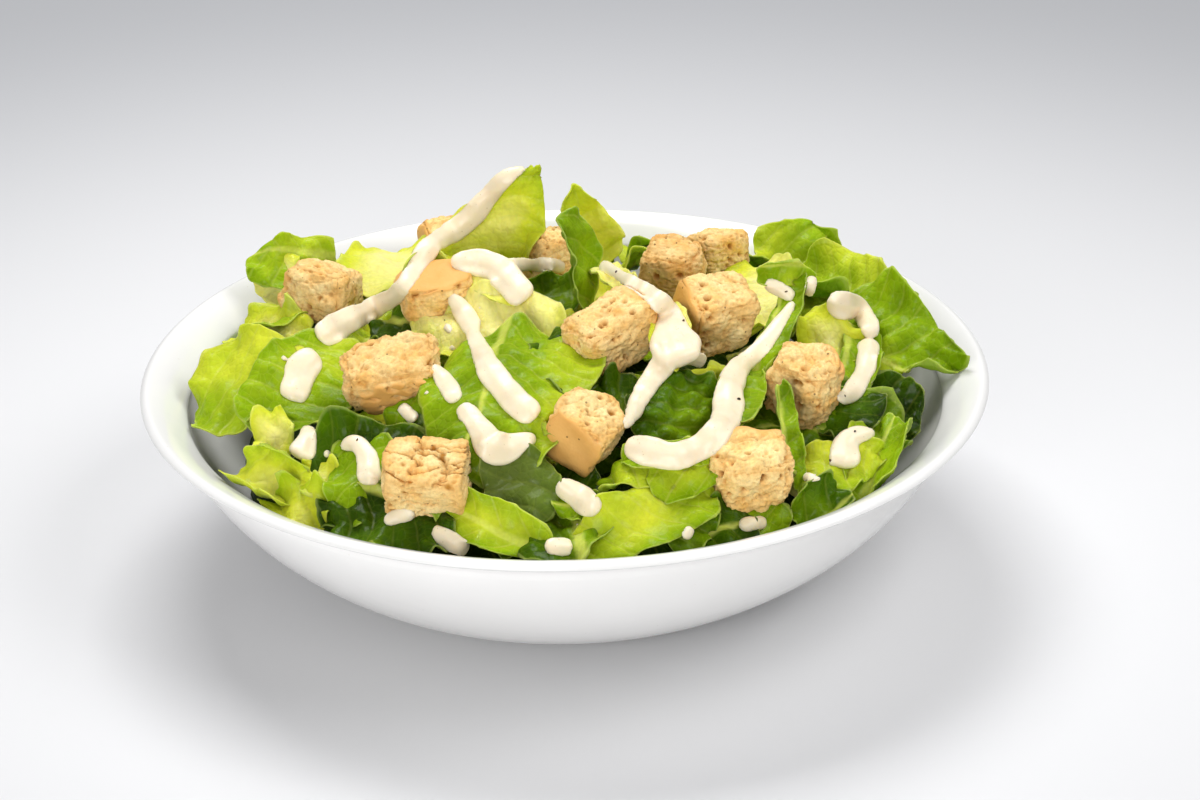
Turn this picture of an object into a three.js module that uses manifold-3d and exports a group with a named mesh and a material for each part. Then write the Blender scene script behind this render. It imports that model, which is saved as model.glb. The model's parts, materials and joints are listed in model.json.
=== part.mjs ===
import * as THREE from 'three';
import { mergeVertices } from 'three/addons/utils/BufferGeometryUtils.js';
import Module from 'manifold-3d';

// Caesar salad in a shallow coupe bowl: millimetres, +Z up, origin at the bottom centre of the bowl.

// Driving dimensions of the bowl
const rimRadius = 110;
const rimHeight = 52;
const footRadius = 47;
const footRingWidth = 4.5;
const footRecess = 1.5;
const floorHeight = 5;
const shoulderHeight = 47;
const shoulderRadius = 102;
const shoulderWall = 3.3;
const lipSlope = 1.6;
const lipInset = 3.6;
const coupeFlare = 1.55;
const coupeRoundness = 1.5;
const bowlSides = 40;
const wallHeights = [floorHeight, 8, 13, 20, 28, 36, 42, 46];

// Driving dimensions of the heap: a low dome, its top a little behind the bowl's axis
const heapTop = 12;
const heapEdge = -9;
const heapRadius = 96;
const heapShift = 8;
const coreDepth = 1;
const coreBrim = 30;
const coreBrimRound = 1.5;
const coreBump = 1.6;
const coreWallGap = 1.8;
const coreRings = 7;
const coreSides = 24;
const wallGap = 0.35;
const ceiling = 3 * rimHeight;

// Pieces in the heap
const leafThickness = 1.3;
const leafWallGap = wallGap + 0.9;
const waveAcross = 4.2;
const waveAlong = 5.1;
const frillRise = 1.4;
const placedColumns = 4;
const fillerRows = 4;
const fillerColumns = 3;
const dressingFlatness = 0.6;
const dressingSides = 6;
const dressingStep = 15;
const croutonGap = 0.4;
const nestRadius = 12.5;
const nestSides = 52;
const nestRaise = 3;

const weldDistance = 1e-3;
const hair = 0.06;
const mostShifts = 6;

const { PI, abs, atan2, cos, floor, hypot, max, min, sin, sqrt, tanh } = Math;
const radians = THREE.MathUtils.degToRad;

// Seeded draws, each between 0 and 1
function draw(seed, place) {
  const value = sin(seed * 12.9898 + place * 78.233) * 43758.5453;
  return value - floor(value);
}

function between(low, high, seed, place) {
  return low + (high - low) * draw(seed, place);
}

// Coupe curve shared by the outside and the inside of the bowl: 0 at the foot, 1 at the shoulder
function coupeCurve(height) {
  const rest = 1 - min(max(height, 0), 1);
  return (1 - rest ** coupeFlare) ** (1 / coupeRoundness);
}

function outerRadius(z) {
  return footRadius + (shoulderRadius - footRadius) * coupeCurve(z / shoulderHeight);
}

function innerRadius(z) {
  const shoulder = shoulderRadius - shoulderWall;
  if (z > shoulderHeight) return min(shoulder + (z - shoulderHeight) * lipSlope, rimRadius - lipInset);
  const height = (z - floorHeight) / (shoulderHeight - floorHeight);
  return footRadius + (shoulder - footRadius) * coupeCurve(height);
}

function heapHeight(x, y) {
  const spread = (x * x + (y - heapShift) ** 2) / heapRadius ** 2;
  return rimHeight + heapTop - (heapTop - heapEdge) * spread;
}

// A lathe turned from Y up to Z up
function turned(profile, sides) {
  const geometry = new THREE.LatheGeometry(profile, sides);
  geometry.rotateX(PI / 2);
  return geometry;
}

function bowlGeometry() {
  const outerHeights = [1, 3.5, 8, 15, 25, 36, shoulderHeight];
  const lip = [[-2.6, 1.7], [0, 3.2], [-0.4, 4.5], [-1.8, 5], [-3.2, 4.6]];
  const profile = [
    new THREE.Vector2(0, footRecess),
    new THREE.Vector2(footRadius - footRingWidth - footRecess, footRecess),
    new THREE.Vector2(footRadius - footRingWidth, 0),
    new THREE.Vector2(footRadius, 0),
    ...outerHeights.map((z) => new THREE.Vector2(outerRadius(z), z)),
    ...lip.map(([out, up]) => new THREE.Vector2(rimRadius + out, shoulderHeight + up)),
    ...wallHeights.toReversed().map((z) => new THREE.Vector2(innerRadius(z), z)),
    new THREE.Vector2(0, floorHeight),
  ];
  return turned(profile, bowlSides);
}

// Croutons: rough cubes of toasted bread; place, size and turn of each
const croutons = [
  { place: [-65, 31, 61], size: [18, 15, 14], turn: [-14, 6, -24] },
  { place: [-33, 78, 55], size: [13, 12, 11], turn: [8, 0, 20] },
  { place: [-33, 9, 69], size: [18, 14, 12], turn: [10, -8, 14] },
  { place: [-3, 36, 67], size: [13, 12, 15], turn: [0, 10, 30] },
  { place: [29, 22, 70], size: [15, 13, 13], turn: [12, 4, -16] },
  { place: [42, 48, 63], size: [14, 12, 11], turn: [-10, 6, 30] },
  { place: [39, -6, 69], size: [17, 15, 17], turn: [18, 4, 24] },
  { place: [-43, -30, 65], size: [24, 16, 13], turn: [24, -10, 4] },
  { place: [12, -20, 70], size: [21, 14, 15], turn: [10, -14, 38] },
  { place: [5, -59, 62], size: [15, 14, 15], turn: [13, 27, -21] },
  { place: [-33, -73, 56], size: [19, 14, 16], turn: [26, 2, -6] },
  { place: [45, -69, 55], size: [18, 15, 17], turn: [24, 0, 10] },
  { place: [60, -33, 61], size: [16, 15, 18], turn: [12, 14, -24] },
];

function croutonShape(crouton, seed) {
  const [width, depth, height] = crouton.size;
  const geometry = new THREE.BoxGeometry(2, 2, 2, 3, 3, 3);
  const position = geometry.attributes.position;
  const point = new THREE.Vector3();
  for (let i = 0; i < position.count; i += 1) {
    point.fromBufferAttribute(position, i);
    const square = max(abs(point.x), abs(point.y), abs(point.z));
    const soft = (point.x ** 8 + point.y ** 8 + point.z ** 8) ** (1 / 8);
    const crag = sin(4.3 * point.x + 9 * draw(seed, 1)) * sin(3.7 * point.y + 9 * draw(seed, 2))
      + sin(5.1 * point.z + 3.1 * point.x + 9 * draw(seed, 3)) * sin(2.9 * point.y + 9 * draw(seed, 4));
    const lean = 1 + between(-0.09, 0.09, seed, 5) * point.z;
    const reach = (square / soft) ** 1.2 * (1 + 0.05 * crag);
    point.multiplyScalar(reach);
    const skew = 1 + between(-0.08, 0.08, seed, 6) * point.x;
    position.setXYZ(i, point.x * width / 2 * lean, point.y * depth / 2 * skew, point.z * height / 2);
  }
  return geometry;
}

function laidOnHeap(geometry, { place, turn }) {
  const angles = new THREE.Euler(...turn.map(radians), 'ZYX');
  geometry.applyMatrix4(new THREE.Matrix4().makeRotationFromEuler(angles));
  geometry.translate(...place);
  return geometry;
}

function croutonGeometry(crouton, seed) {
  return laidOnHeap(croutonShape(crouton, seed), crouton);
}

// The block cleared round a crouton
function croutonSeat(crouton, seed) {
  const shape = croutonShape(crouton, seed);
  shape.computeBoundingBox();
  const size = shape.boundingBox.getSize(new THREE.Vector3()).addScalar(2 * croutonGap);
  const seat = new THREE.BoxGeometry(size.x, size.y, size.z);
  seat.translate(...shape.boundingBox.getCenter(new THREE.Vector3()).toArray());
  return laidOnHeap(seat, crouton);
}

// Leaf pieces. root and tip are the ends of the leaf's chord, face is where its upper side looks:
// degrees round Z from the front, then degrees up. Angles bend, cup and curl the blade in degrees.
const leafDefaults = {
  bend: 25, cup: 18, fold: 0, rib: 0, twist: 0, tipCurl: 0, rootCurl: 0, leftCurl: 0, rightCurl: 0,
  round: 0.85, taper: 0, jag: 0.05, ruffle: 1.2, waves: 5, ripple: 1,
};

const leaves = {
  tall: { root: [-23, 38, 63], tip: [-6, 34, 96], face: [0, 5], width: 22, bend: 15, cup: 10,
    taper: -0.75, ruffle: 0.8 },
  tallLow: { root: [-17, 44, 63], tip: [-34, 60, 60], face: [0, 50], width: 16, ruffle: 2 },
  backStand: { root: [12, 44, 62], tip: [5, 40, 86], face: [10, 0], width: 15, bend: 15,
    taper: -0.35, round: 0.8 },
  blade: { root: [6, 8, 60], tip: [2, 22, 87], face: [65, 10], width: 17, twist: 25 },
  loop: { root: [-9, 18, 68], tip: [5, 13, 68], face: [0, 60], width: 16, bend: -120 },
  pale: { root: [-35, 0, 63], tip: [0, -12, 65], face: [0, 60], width: 24, ruffle: 2 },
  big: { root: [-8, -13, 69], tip: [-19, -72, 57], face: [-10, 60], width: 45, bend: 45, cup: -25,
    tipCurl: 40, taper: -0.12, ruffle: 2 },
  bigRight: { root: [-2, -14, 68], tip: [6, -46, 62], face: [40, 55], width: 22, cup: -20 },
  under: { root: [-10, -80, 46], tip: [-11, -64, 61], face: [0, 10], width: 19 },
  bullate: { root: [21, -56, 57], tip: [34, -32, 65], face: [20, 60], width: 25, bend: 55, cup: -45 },
  hook: { root: [43, -46, 55], tip: [60, 3, 75], face: [-25, 20], width: 8, bend: -10, cup: 35,
    ruffle: 0.5 },
  hookTop: { root: [64, 3, 76], tip: [51, 0, 77], face: [0, 15], width: 6.5, bend: 30, cup: 130,
    ruffle: 0.5 },
  rimBack: { root: [66, 66, 40], tip: [66, 78, 60], face: [15, 5], width: 32, cup: 20, bend: 10,
    round: 0.6 },
  rimMid: { root: [64, 66, 49], tip: [86, 25, 46], face: [-35, 45], width: 32, bend: 15, cup: 10,
    jag: 0.03, ruffle: 1.8 },
  rimSide: { root: [70, 22, 54], tip: [103, -4, 52], face: [-40, 55], width: 29, taper: -0.6,
    jag: 0.04, ruffle: 2.2 },
  paleBack: { root: [53, 4, 60], tip: [50, 45, 61], face: [0, 50], width: 22 },
  curly: { root: [60, -2, 60], tip: [77, 0, 57], face: [10, 50], width: 20, ruffle: 2 },
  arch: { root: [24, -71, 50], tip: [9, -71, 52], face: [0, 75], width: 10, bend: 170, cup: 20,
    ruffle: 1 },
  frontBright: { root: [2, -88, 44], tip: [36, -75, 50], face: [-10, 50], width: 17, taper: -0.12,
    round: 0.9, ruffle: 0.7 },
  frontBright2: { root: [20, -76, 56], tip: [38, -72, 57], face: [0, 50], width: 12, taper: -0.3,
    round: 0.9, ruffle: 0.7 },
  frontLeft: { root: [-4, -88, 44], tip: [-31, -75, 51], face: [-10, 45], width: 14, cup: 40,
    round: 0.9, ruffle: 0.8 },
  stand: { root: [57, -66, 46], tip: [54, -44, 68], face: [10, 10], width: 5.5, twist: 25, cup: 60,
    ruffle: 0.5 },
  frontRight: { root: [34, -74, 45], tip: [54, -76, 41], face: [0, 50], width: 18 },
  rightCurl: { root: [56, -73, 43], tip: [67, -64, 48], face: [10, 30], width: 14, cup: 60 },
  rightSpear: { root: [60, -58, 47], tip: [80, -46, 48], face: [0, 60], width: 15, taper: -0.4 },
  rightFold: { root: [73, -59, 42], tip: [84, -34, 51], face: [-30, 40], width: 18, fold: 30 },
  rightDark: { root: [75, -18, 50], tip: [90, -26, 45], face: [-20, 60], width: 22 },
  leftLobe: { root: [-66, -16, 57], tip: [-96, -9, 49], face: [-20, 60], width: 34, bend: 40,
    ruffle: 2 },
  leftRib: { root: [-52, -8, 60], tip: [-80, -31, 52], face: [-10, 55], width: 30 },
  leftTop: { root: [-46, 8, 59], tip: [-70, -6, 56], face: [0, 60], width: 26 },
  yellowScoop: { root: [-62, -60, 46], tip: [-80, -45, 48], face: [0, 35], width: 20, cup: 110 },
  yellowLip: { root: [-57, -68, 45], tip: [-73, -60, 45], face: [-10, 50], width: 15, ruffle: 2 },
  leftStand: { root: [-48, -75, 45], tip: [-49, -50, 57], face: [-15, 40], width: 20, tipCurl: 60 },
  frontDark: { root: [-59, -68, 45], tip: [-27, -85, 46], face: [0, 60], width: 22, waves: 7,
    ruffle: 1.5 },
  rimLeft: { root: [-60, 62, 56], tip: [-86, 52, 61], face: [10, 45], width: 22, bend: 40 },
  paleLeft: { root: [-50, 34, 59], tip: [-48, 76, 54], face: [0, 45], width: 26 },
  frill: { root: [-69, 16, 56], tip: [-87, 34, 51], face: [0, 50], width: 22, ruffle: 2.5 },
  darkRight: { root: [65, -40, 51], tip: [78, -22, 53], face: [0, 60], width: 18 },
};

// Angles at which a blade rolls over near its margin
function ramp(distance) {
  return max(0, distance - 0.5) ** 2 * 4;
}

// Positions along a path whose heading, in radians, is known from -reach to reach
function headingRun(heading, reach = 1.6, count = 161) {
  const step = 2 * reach / (count - 1);
  const middle = (count - 1) / 2;
  const run = [{ along: 0, rise: 0, turn: heading(-reach) }];
  for (let i = 1; i < count; i += 1) {
    const last = run[i - 1];
    const turn = heading(-reach + i * step);
    run.push({
      along: last.along + (cos(turn) + cos(last.turn)) * step / 2,
      rise: last.rise + (sin(turn) + sin(last.turn)) * step / 2,
      turn,
    });
  }
  const centre = run[middle];
  return (at) => {
    const place = min(max((at + reach) / step, 0), count - 1.001);
    const low = run[floor(place)];
    const high = run[floor(place) + 1];
    const part = place - floor(place);
    const mix = (key) => low[key] + (high[key] - low[key]) * part;
    return { along: mix('along') - centre.along, rise: mix('rise') - centre.rise, turn: mix('turn') };
  };
}

// Middle surface of a leaf: a function of s along it and t across it, both from -1 to 1
function leafSurface(settings, seed) {
  const leaf = { ...leafDefaults, ...settings };
  const phase = Array.from({ length: 8 }, (_, k) => 2 * PI * draw(seed, k));
  const halfBend = radians(leaf.bend) / 2;
  const spine = headingRun((p) => -(halfBend * p
    + radians(leaf.tipCurl) * ramp(p) - radians(leaf.rootCurl) * ramp(-p)));
  const section = headingRun((p) => radians(leaf.cup) * p + radians(leaf.fold) * tanh((p - leaf.rib) * 5)
    + radians(leaf.rightCurl) * ramp(p) - radians(leaf.leftCurl) * ramp(-p));

  const root = new THREE.Vector3(...leaf.root);
  const tip = new THREE.Vector3(...leaf.tip);
  const centre = root.clone().add(tip).multiplyScalar(0.5);
  const chord = root.distanceTo(tip);
  const bent = abs(halfBend) > 1e-4;
  const halfLength = chord / 2 / (bent ? sin(halfBend) / halfBend : 1);
  const sag = bent ? (1 - cos(halfBend)) / halfBend * halfLength : 0;
  const halfWidth = leaf.width / 2;
  const forward = tip.clone().sub(root).divideScalar(chord);
  const [azimuth, elevation] = leaf.face.map(radians);
  const normal = new THREE.Vector3(
    sin(azimuth) * cos(elevation), -cos(azimuth) * cos(elevation), sin(elevation));
  normal.addScaledVector(forward, -normal.dot(forward)).normalize();
  const right = forward.clone().cross(normal);

  return (s, t) => {
    const edge = (s ** 6 + t ** 6) ** (1 / 6);
    const around = atan2(t, s);
    const jag = 1 + leaf.jag * edge ** 3
      * (sin(2 * around + phase[0]) + 0.8 * sin(3 * around + phase[1]) + 0.6 * sin(7 * around + phase[2]));
    const square = 1 - leaf.round;
    const across = t * (square + leaf.round * sqrt(1 - s * s / 2)) * jag * (1 + leaf.taper * s);
    const along = s * (square + leaf.round * sqrt(1 - t * t / 2)) * jag;
    const onSpine = spine(along);
    const onSection = section(across);
    const wave = leaf.ripple
      * sin(across * halfWidth / waveAcross + phase[3]) * sin(along * halfLength / waveAlong + phase[4]);
    const frill = frillRise * leaf.ruffle * edge ** 4
      * (sin(leaf.waves * around + phase[5]) + 0.3 * sin((2 * leaf.waves + 1) * around + phase[6]));
    const flat = onSection.along * halfWidth;
    const lifted = onSection.rise * halfWidth + wave + frill;
    const roll = radians(leaf.twist) * along;
    const sideways = flat * cos(roll) - lifted * sin(roll);
    const lift = flat * sin(roll) + lifted * cos(roll);
    const point = centre.clone()
      .addScaledVector(forward, onSpine.along * halfLength - lift * sin(onSpine.turn))
      .addScaledVector(normal, onSpine.rise * halfLength + sag + lift * cos(onSpine.turn))
      .addScaledVector(right, sideways);
    return keepInBowl(clearCroutons(point));
  };
}

// Croutons press the leaves away from themselves, mostly downwards: nestRadius is the reach of one
// whose three sides add up to nestSides
function clearCroutons(point) {
  croutons.forEach(({ place, size }) => {
    const centre = new THREE.Vector3(...place);
    centre.z += nestRaise;
    const reach = nestRadius * (size[0] + size[1] + size[2]) / nestSides;
    const offset = point.clone().sub(centre);
    const distance = max(offset.length(), 0.01);
    if (distance >= reach) return;
    const pushed = sqrt(distance ** 2 + (reach * (1 - (distance / reach) ** 2)) ** 2);
    point.copy(centre).addScaledVector(offset, pushed / distance);
  });
  return point;
}

function keepInBowl(point) {
  const radial = hypot(point.x, point.y);
  const scale = min(1, (innerRadius(point.z) - leafWallGap) / max(radial, 0.01));
  point.x *= scale;
  point.y *= scale;
  return point;
}

// A blade that bends more has more rows
function rowsAlong({ bend = 0, tipCurl = 0 }) {
  return 4 + floor((abs(bend) + abs(tipCurl)) / 60);
}

// A closed blade of even thickness, both faces split into the same triangles
function leafGeometry(settings, seed, rows, columns) {
  const surface = leafSurface(settings, seed);
  const at = (i, j) => surface(2 * i / (rows - 1) - 1, 2 * j / (columns - 1) - 1);
  const middle = [];
  for (let i = 0; i < rows; i += 1) {
    for (let j = 0; j < columns; j += 1) middle.push(at(i, j));
  }
  const number = (i, j) => i * columns + j;
  const near = (i, j) => middle[number(min(max(i, 0), rows - 1), min(max(j, 0), columns - 1))];
  const upper = [];
  const lower = [];
  middle.forEach((point, k) => {
    const i = floor(k / columns);
    const j = k % columns;
    const alongStep = near(i + 1, j).clone().sub(near(i - 1, j));
    const acrossStep = near(i, j + 1).clone().sub(near(i, j - 1));
    const out = acrossStep.cross(alongStep).normalize().multiplyScalar(leafThickness / 2);
    upper.push(...point.clone().add(out).toArray());
    lower.push(...point.clone().sub(out).toArray());
  });
  const faces = [];
  const below = middle.length;
  const quad = (a, b, c, d) => faces.push(a, b, c, a, c, d);
  for (let i = 0; i < rows - 1; i += 1) {
    for (let j = 0; j < columns - 1; j += 1) {
      const [a, b, c, d] = [number(i, j), number(i + 1, j), number(i + 1, j + 1), number(i, j + 1)];
      faces.push(a, c, b, a, d, c);
      faces.push(below + a, below + b, below + c, below + a, below + c, below + d);
    }
  }
  for (let i = 0; i < rows - 1; i += 1) {
    const [a, b] = [number(i, 0), number(i + 1, 0)];
    const [c, d] = [number(i, columns - 1), number(i + 1, columns - 1)];
    quad(a, b, below + b, below + a);
    quad(d, c, below + c, below + d);
  }
  for (let j = 0; j < columns - 1; j += 1) {
    const [a, b] = [number(0, j), number(0, j + 1)];
    const [c, d] = [number(rows - 1, j), number(rows - 1, j + 1)];
    quad(b, a, below + a, below + b);
    quad(c, d, below + d, below + c);
  }
  const geometry = new THREE.BufferGeometry();
  geometry.setAttribute('position', new THREE.Float32BufferAttribute([...upper, ...lower], 3));
  geometry.setIndex(faces);
  return geometry;
}

// Leaves behind and under the placed ones, in arcs over the heap: degrees from the +X side
const fillerArcs = [
  { radius: 84, from: 12, to: 168, count: 7 },
  { radius: 58, from: 25, to: 155, count: 5 },
  { radius: 30, from: 60, to: 120, count: 1 },
  { radius: 74, from: 195, to: 345, count: 3 },
];

function fillerLeaves() {
  const fillers = [];
  fillerArcs.forEach(({ radius, from, to, count }) => {
    for (let k = 0; k < count; k += 1) {
      const seed = 501 + fillers.length;
      const angle = radians(from + (to - from) * (k + between(0.2, 0.8, seed, 1)) / count);
      const x = radius * cos(angle);
      const y = radius * sin(angle);
      const z = heapHeight(x, y) - 3 + between(-1, 2, seed, 2);
      const halfLength = between(36, 48, seed, 3) / 2;
      const yaw = between(0, 2 * PI, seed, 5);
      const rise = between(-3, 5, seed, 6);
      const reachX = cos(yaw) * halfLength;
      const reachY = sin(yaw) * halfLength;
      fillers.push({
        root: [x - reachX, y - reachY, z - rise],
        tip: [x + reachX, y + reachY, z + rise],
        face: [THREE.MathUtils.radToDeg(atan2(x, -y)), 90 - radius * 0.45 + between(-15, 15, seed, 7)],
        width: between(26, 34, seed, 4),
        bend: between(10, 60, seed, 8),
        cup: between(-30, 30, seed, 9),
        ruffle: between(0.8, 2.2, seed, 10),
      });
    }
  });
  return fillers;
}

// The packed inside of the heap: the bowl's hollow filled up to a bumpy dome below the leaves
function coreGeometry() {
  const profile = [new THREE.Vector2(0, floorHeight + wallGap)];
  const wall = wallHeights.filter((z) => z < coreBrim);
  wall.forEach((z) => profile.push(new THREE.Vector2(innerRadius(z) - coreWallGap, z + wallGap)));
  const brim = profile[profile.length - 1].x;
  for (let k = 0; k <= coreRings; k += 1) {
    const radius = (brim - coreBrimRound) * (1 - k / coreRings);
    profile.push(new THREE.Vector2(radius, heapHeight(radius, heapShift) - coreDepth));
  }
  const geometry = turned(profile, coreSides);
  const position = geometry.attributes.position;
  for (let i = 0; i < position.count; i += 1) {
    const [x, y, z] = [position.getX(i), position.getY(i), position.getZ(i)];
    if (z < coreBrim) continue;
    const bump = coreBump * sin(x / 5.3 + 1) * sin(y / 6.1 + 2);
    position.setZ(i, heapHeight(x, y) - coreDepth + bump);
  }
  return geometry;
}

// The space inside the bowl and straight above it, which the heap stays in
function roomGeometry() {
  const profile = [
    new THREE.Vector2(0, floorHeight + wallGap),
    ...wallHeights.map((z) => new THREE.Vector2(innerRadius(z) - 2 * wallGap, z + wallGap)),
    new THREE.Vector2(innerRadius(rimHeight) - 3 * wallGap, rimHeight + wallGap),
    new THREE.Vector2(innerRadius(rimHeight) - 3 * wallGap, ceiling),
    new THREE.Vector2(0, ceiling),
  ];
  return turned(profile, bowlSides);
}

// Dressing: flattened strands and drops; width is given at each point of the path
function dressingGeometry({ path, width }, heights) {
  const line = new THREE.CatmullRomCurve3(path.map(([x, y], k) => new THREE.Vector3(x, y, heights[k])));
  const rings = max(4, floor(line.getLength() / dressingStep));
  const geometry = new THREE.SphereGeometry(1, dressingSides, rings);
  const position = geometry.attributes.position;
  const up = new THREE.Vector3(0, 0, 1);
  for (let i = 0; i < position.count; i += 1) {
    const latitude = min(max(position.getY(i), -1), 1);
    const at = Math.acos(latitude) / PI;
    const place = at * (width.length - 1);
    const index = min(floor(place), width.length - 2);
    const local = width[index] + (width[index + 1] - width[index]) * (place - index);
    const ring = sqrt(max(1 - latitude ** 2, 0));
    const swell = local / 2 * sqrt(ring);
    const side = line.getTangent(at).cross(up).normalize();
    const rise = side.clone().cross(line.getTangent(at)).normalize();
    const point = line.getPoint(at)
      .addScaledVector(side, ring > 0 ? position.getX(i) / ring * swell : 0)
      .addScaledVector(rise, ring > 0 ? -position.getZ(i) / ring * swell * dressingFlatness : 0);
    position.setXYZ(i, point.x, point.y, point.z);
  }
  return geometry;
}

// Strands and drops of dressing: plan path, width at each point and, where it hangs, its height
const dressings = [
  { path: [[-10, 34], [-22, 34], [-34, 33], [-37, 16], [-42, 2], [-47, 16], [-57, 6], [-65, -8]],
    z: [93, 83, 73, 76, 73, 63, 62, 63], width: [2, 6, 6, 5, 5, 6, 8, 7] },
  { path: [[-65, -12], [-70, -23]], width: [8, 8] },
  { path: [[-29, 2], [-24, -9], [-22, -22], [-19, -35], [-15, -47], [-8, -58]],
    width: [4, 5, 4, 6, 7, 6] },
  { path: [[-32, -38], [-27, -48]], width: [2, 5] },
  { path: [[-24, -52], [-18, -67], [-7, -64]], width: [6, 8, 3] },
  { path: [[-64, -40], [-65, -50]], width: [4, 8] },
  { path: [[-54, -54], [-47, -68]], width: [3, 5] },
  { path: [[-28, 10], [-22, 19], [-17, 9], [-11, 0]], width: [5, 7, 8, 8] },
  { path: [[-18, 37], [-7, 30], [2, 24]], width: [5, 4, 4] },
  { path: [[10, 10], [14, -2], [19, -13], [24, -20], [27, -13], [28, -20], [28, -33]],
    width: [4, 4, 4, 5, 7, 11, 12] },
  { path: [[35, -14], [29, -25], [23, -37], [18, -49], [15, -62]], width: [4, 6, 6, 5, 3] },
  { path: [[59, -6], [52, -18], [43, -26], [41, -40], [40, -55], [38, -69], [29, -69], [16, -65]],
    width: [3, 4, 7, 7, 7, 7, 7, 6] },
  { path: [[70, 3], [78, 15], [79, 1]], width: [6, 6, 5] },
  { path: [[79, 3], [78, -10], [75, -20], [70, -31]], width: [6, 6, 5, 3] },
  { path: [[69, -54], [77, -45]], width: [8, 3] },
  { path: [[0, -75], [6, -78]], width: [6, 6] },
  { path: [[-3, -92], [1, -91]], width: [5, 5] },
];

// Solids for joining and cutting
const wasm = await Module();
wasm.setup();

function welded(geometry) {
  const bare = geometry.clone();
  bare.deleteAttribute('normal');
  bare.deleteAttribute('uv');
  const merged = mergeVertices(bare, weldDistance);
  const index = merged.index.array;
  const triangles = [];
  for (let i = 0; i < index.length; i += 3) {
    const [a, b, c] = [index[i], index[i + 1], index[i + 2]];
    if (a !== b && b !== c && c !== a) triangles.push(a, b, c);
  }
  return { vertices: new Float32Array(merged.attributes.position.array), triangles };
}

// True where every edge joins just two triangles
function closedOnce({ triangles }) {
  const uses = new Map();
  for (let i = 0; i < triangles.length; i += 3) {
    for (let k = 0; k < 3; k += 1) {
      const ends = [triangles[i + k], triangles[i + (k + 1) % 3]];
      const edge = `${min(...ends)} ${max(...ends)}`;
      uses.set(edge, (uses.get(edge) ?? 0) + 1);
    }
  }
  return [...uses.values()].every((count) => count === 2);
}

function toSolid(geometry) {
  const { vertices, triangles } = welded(geometry);
  return new wasm.Manifold(new wasm.Mesh({
    numProp: 3,
    vertProperties: vertices,
    triVerts: new Uint32Array(triangles),
  }));
}

function toGeometry(solid) {
  const mesh = solid.getMesh();
  const geometry = new THREE.BufferGeometry();
  geometry.setAttribute('position', new THREE.BufferAttribute(mesh.vertProperties, 3));
  geometry.setIndex(new THREE.BufferAttribute(mesh.triVerts, 1));
  return geometry;
}

// Joins, cuts or keeps the common part. Where a sliver would pinch the surface the piece is shifted
// by a hair, and skipped if that never helps.
function combined(base, geometry, operation) {
  for (let attempt = 0; attempt < mostShifts; attempt += 1) {
    const piece = toSolid(geometry.clone().translate(0, 0, -hair * attempt));
    const result = base[operation](piece);
    if (closedOnce(welded(toGeometry(result)))) return result;
  }
  return base;
}

// Without loose scraps, and with sealed hollows filled
function largestBody(solid) {
  const bodies = toSolid(toGeometry(solid)).decompose();
  return bodies.reduce((best, body) => (body.volume() > best.volume() ? body : best));
}

// Height of the leaves' upper side straight below a point high over the heap
function surfaceHeights(layers, path) {
  const caster = new THREE.Raycaster();
  const down = new THREE.Vector3(0, 0, -1);
  return path.map(([x, y]) => {
    caster.set(new THREE.Vector3(x, y, ceiling), down);
    const [hit] = caster.intersectObjects(layers);
    return hit ? hit.point.z : heapHeight(x, y);
  });
}

function saladGeometry() {
  const core = coreGeometry();
  const placed = Object.values(leaves);
  const fillers = fillerLeaves();
  const blades = [
    ...placed.map((leaf, k) => leafGeometry(leaf, k + 1, rowsAlong(leaf), placedColumns)),
    ...fillers.map((leaf, k) => (
      leafGeometry(leaf, placed.length + k + 1, fillerRows, fillerColumns))),
  ];
  const layers = [core, ...blades].map((layer) => new THREE.Mesh(layer));
  layers.forEach((layer) => layer.updateMatrixWorld());
  const strands = dressings.map((dressing) => dressingGeometry(
    dressing, dressing.z ?? surfaceHeights(layers, dressing.path)));
  let salad = toSolid(core);
  [...blades, ...strands].forEach((piece) => {
    salad = combined(salad, piece, 'add');
  });
  salad = combined(salad, roomGeometry(), 'intersect');
  croutons.forEach((crouton, k) => {
    salad = combined(salad, croutonSeat(crouton, k + 1), 'subtract');
  });
  return toGeometry(largestBody(salad));
}

const glazedCeramic = new THREE.MeshStandardMaterial({ color: 0xf3f1ea, roughness: 0.18 });
const lettuce = new THREE.MeshStandardMaterial({ color: 0x86ab35, roughness: 0.5 });
const toastedBread = new THREE.MeshStandardMaterial({ color: 0xdcae6c, roughness: 0.85 });

function addPiece(group, name, geometry, material) {
  const piece = new THREE.Mesh(geometry, material);
  piece.name = name;
  group.add(piece);
}

const caesarSalad = new THREE.Group();
addPiece(caesarSalad, 'bowl', bowlGeometry(), glazedCeramic);
addPiece(caesarSalad, 'salad', saladGeometry(), lettuce);
croutons.forEach((crouton, k) => {
  const number = String(k + 1).padStart(2, '0');
  addPiece(caesarSalad, `crouton_${number}`, croutonGeometry(crouton, k + 1), toastedBread);
});

export default caesarSalad;
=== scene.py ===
import json
import math

import bpy
import numpy as np
from mathutils import Euler, Matrix, Vector
from mathutils.bvhtree import BVHTree

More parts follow.
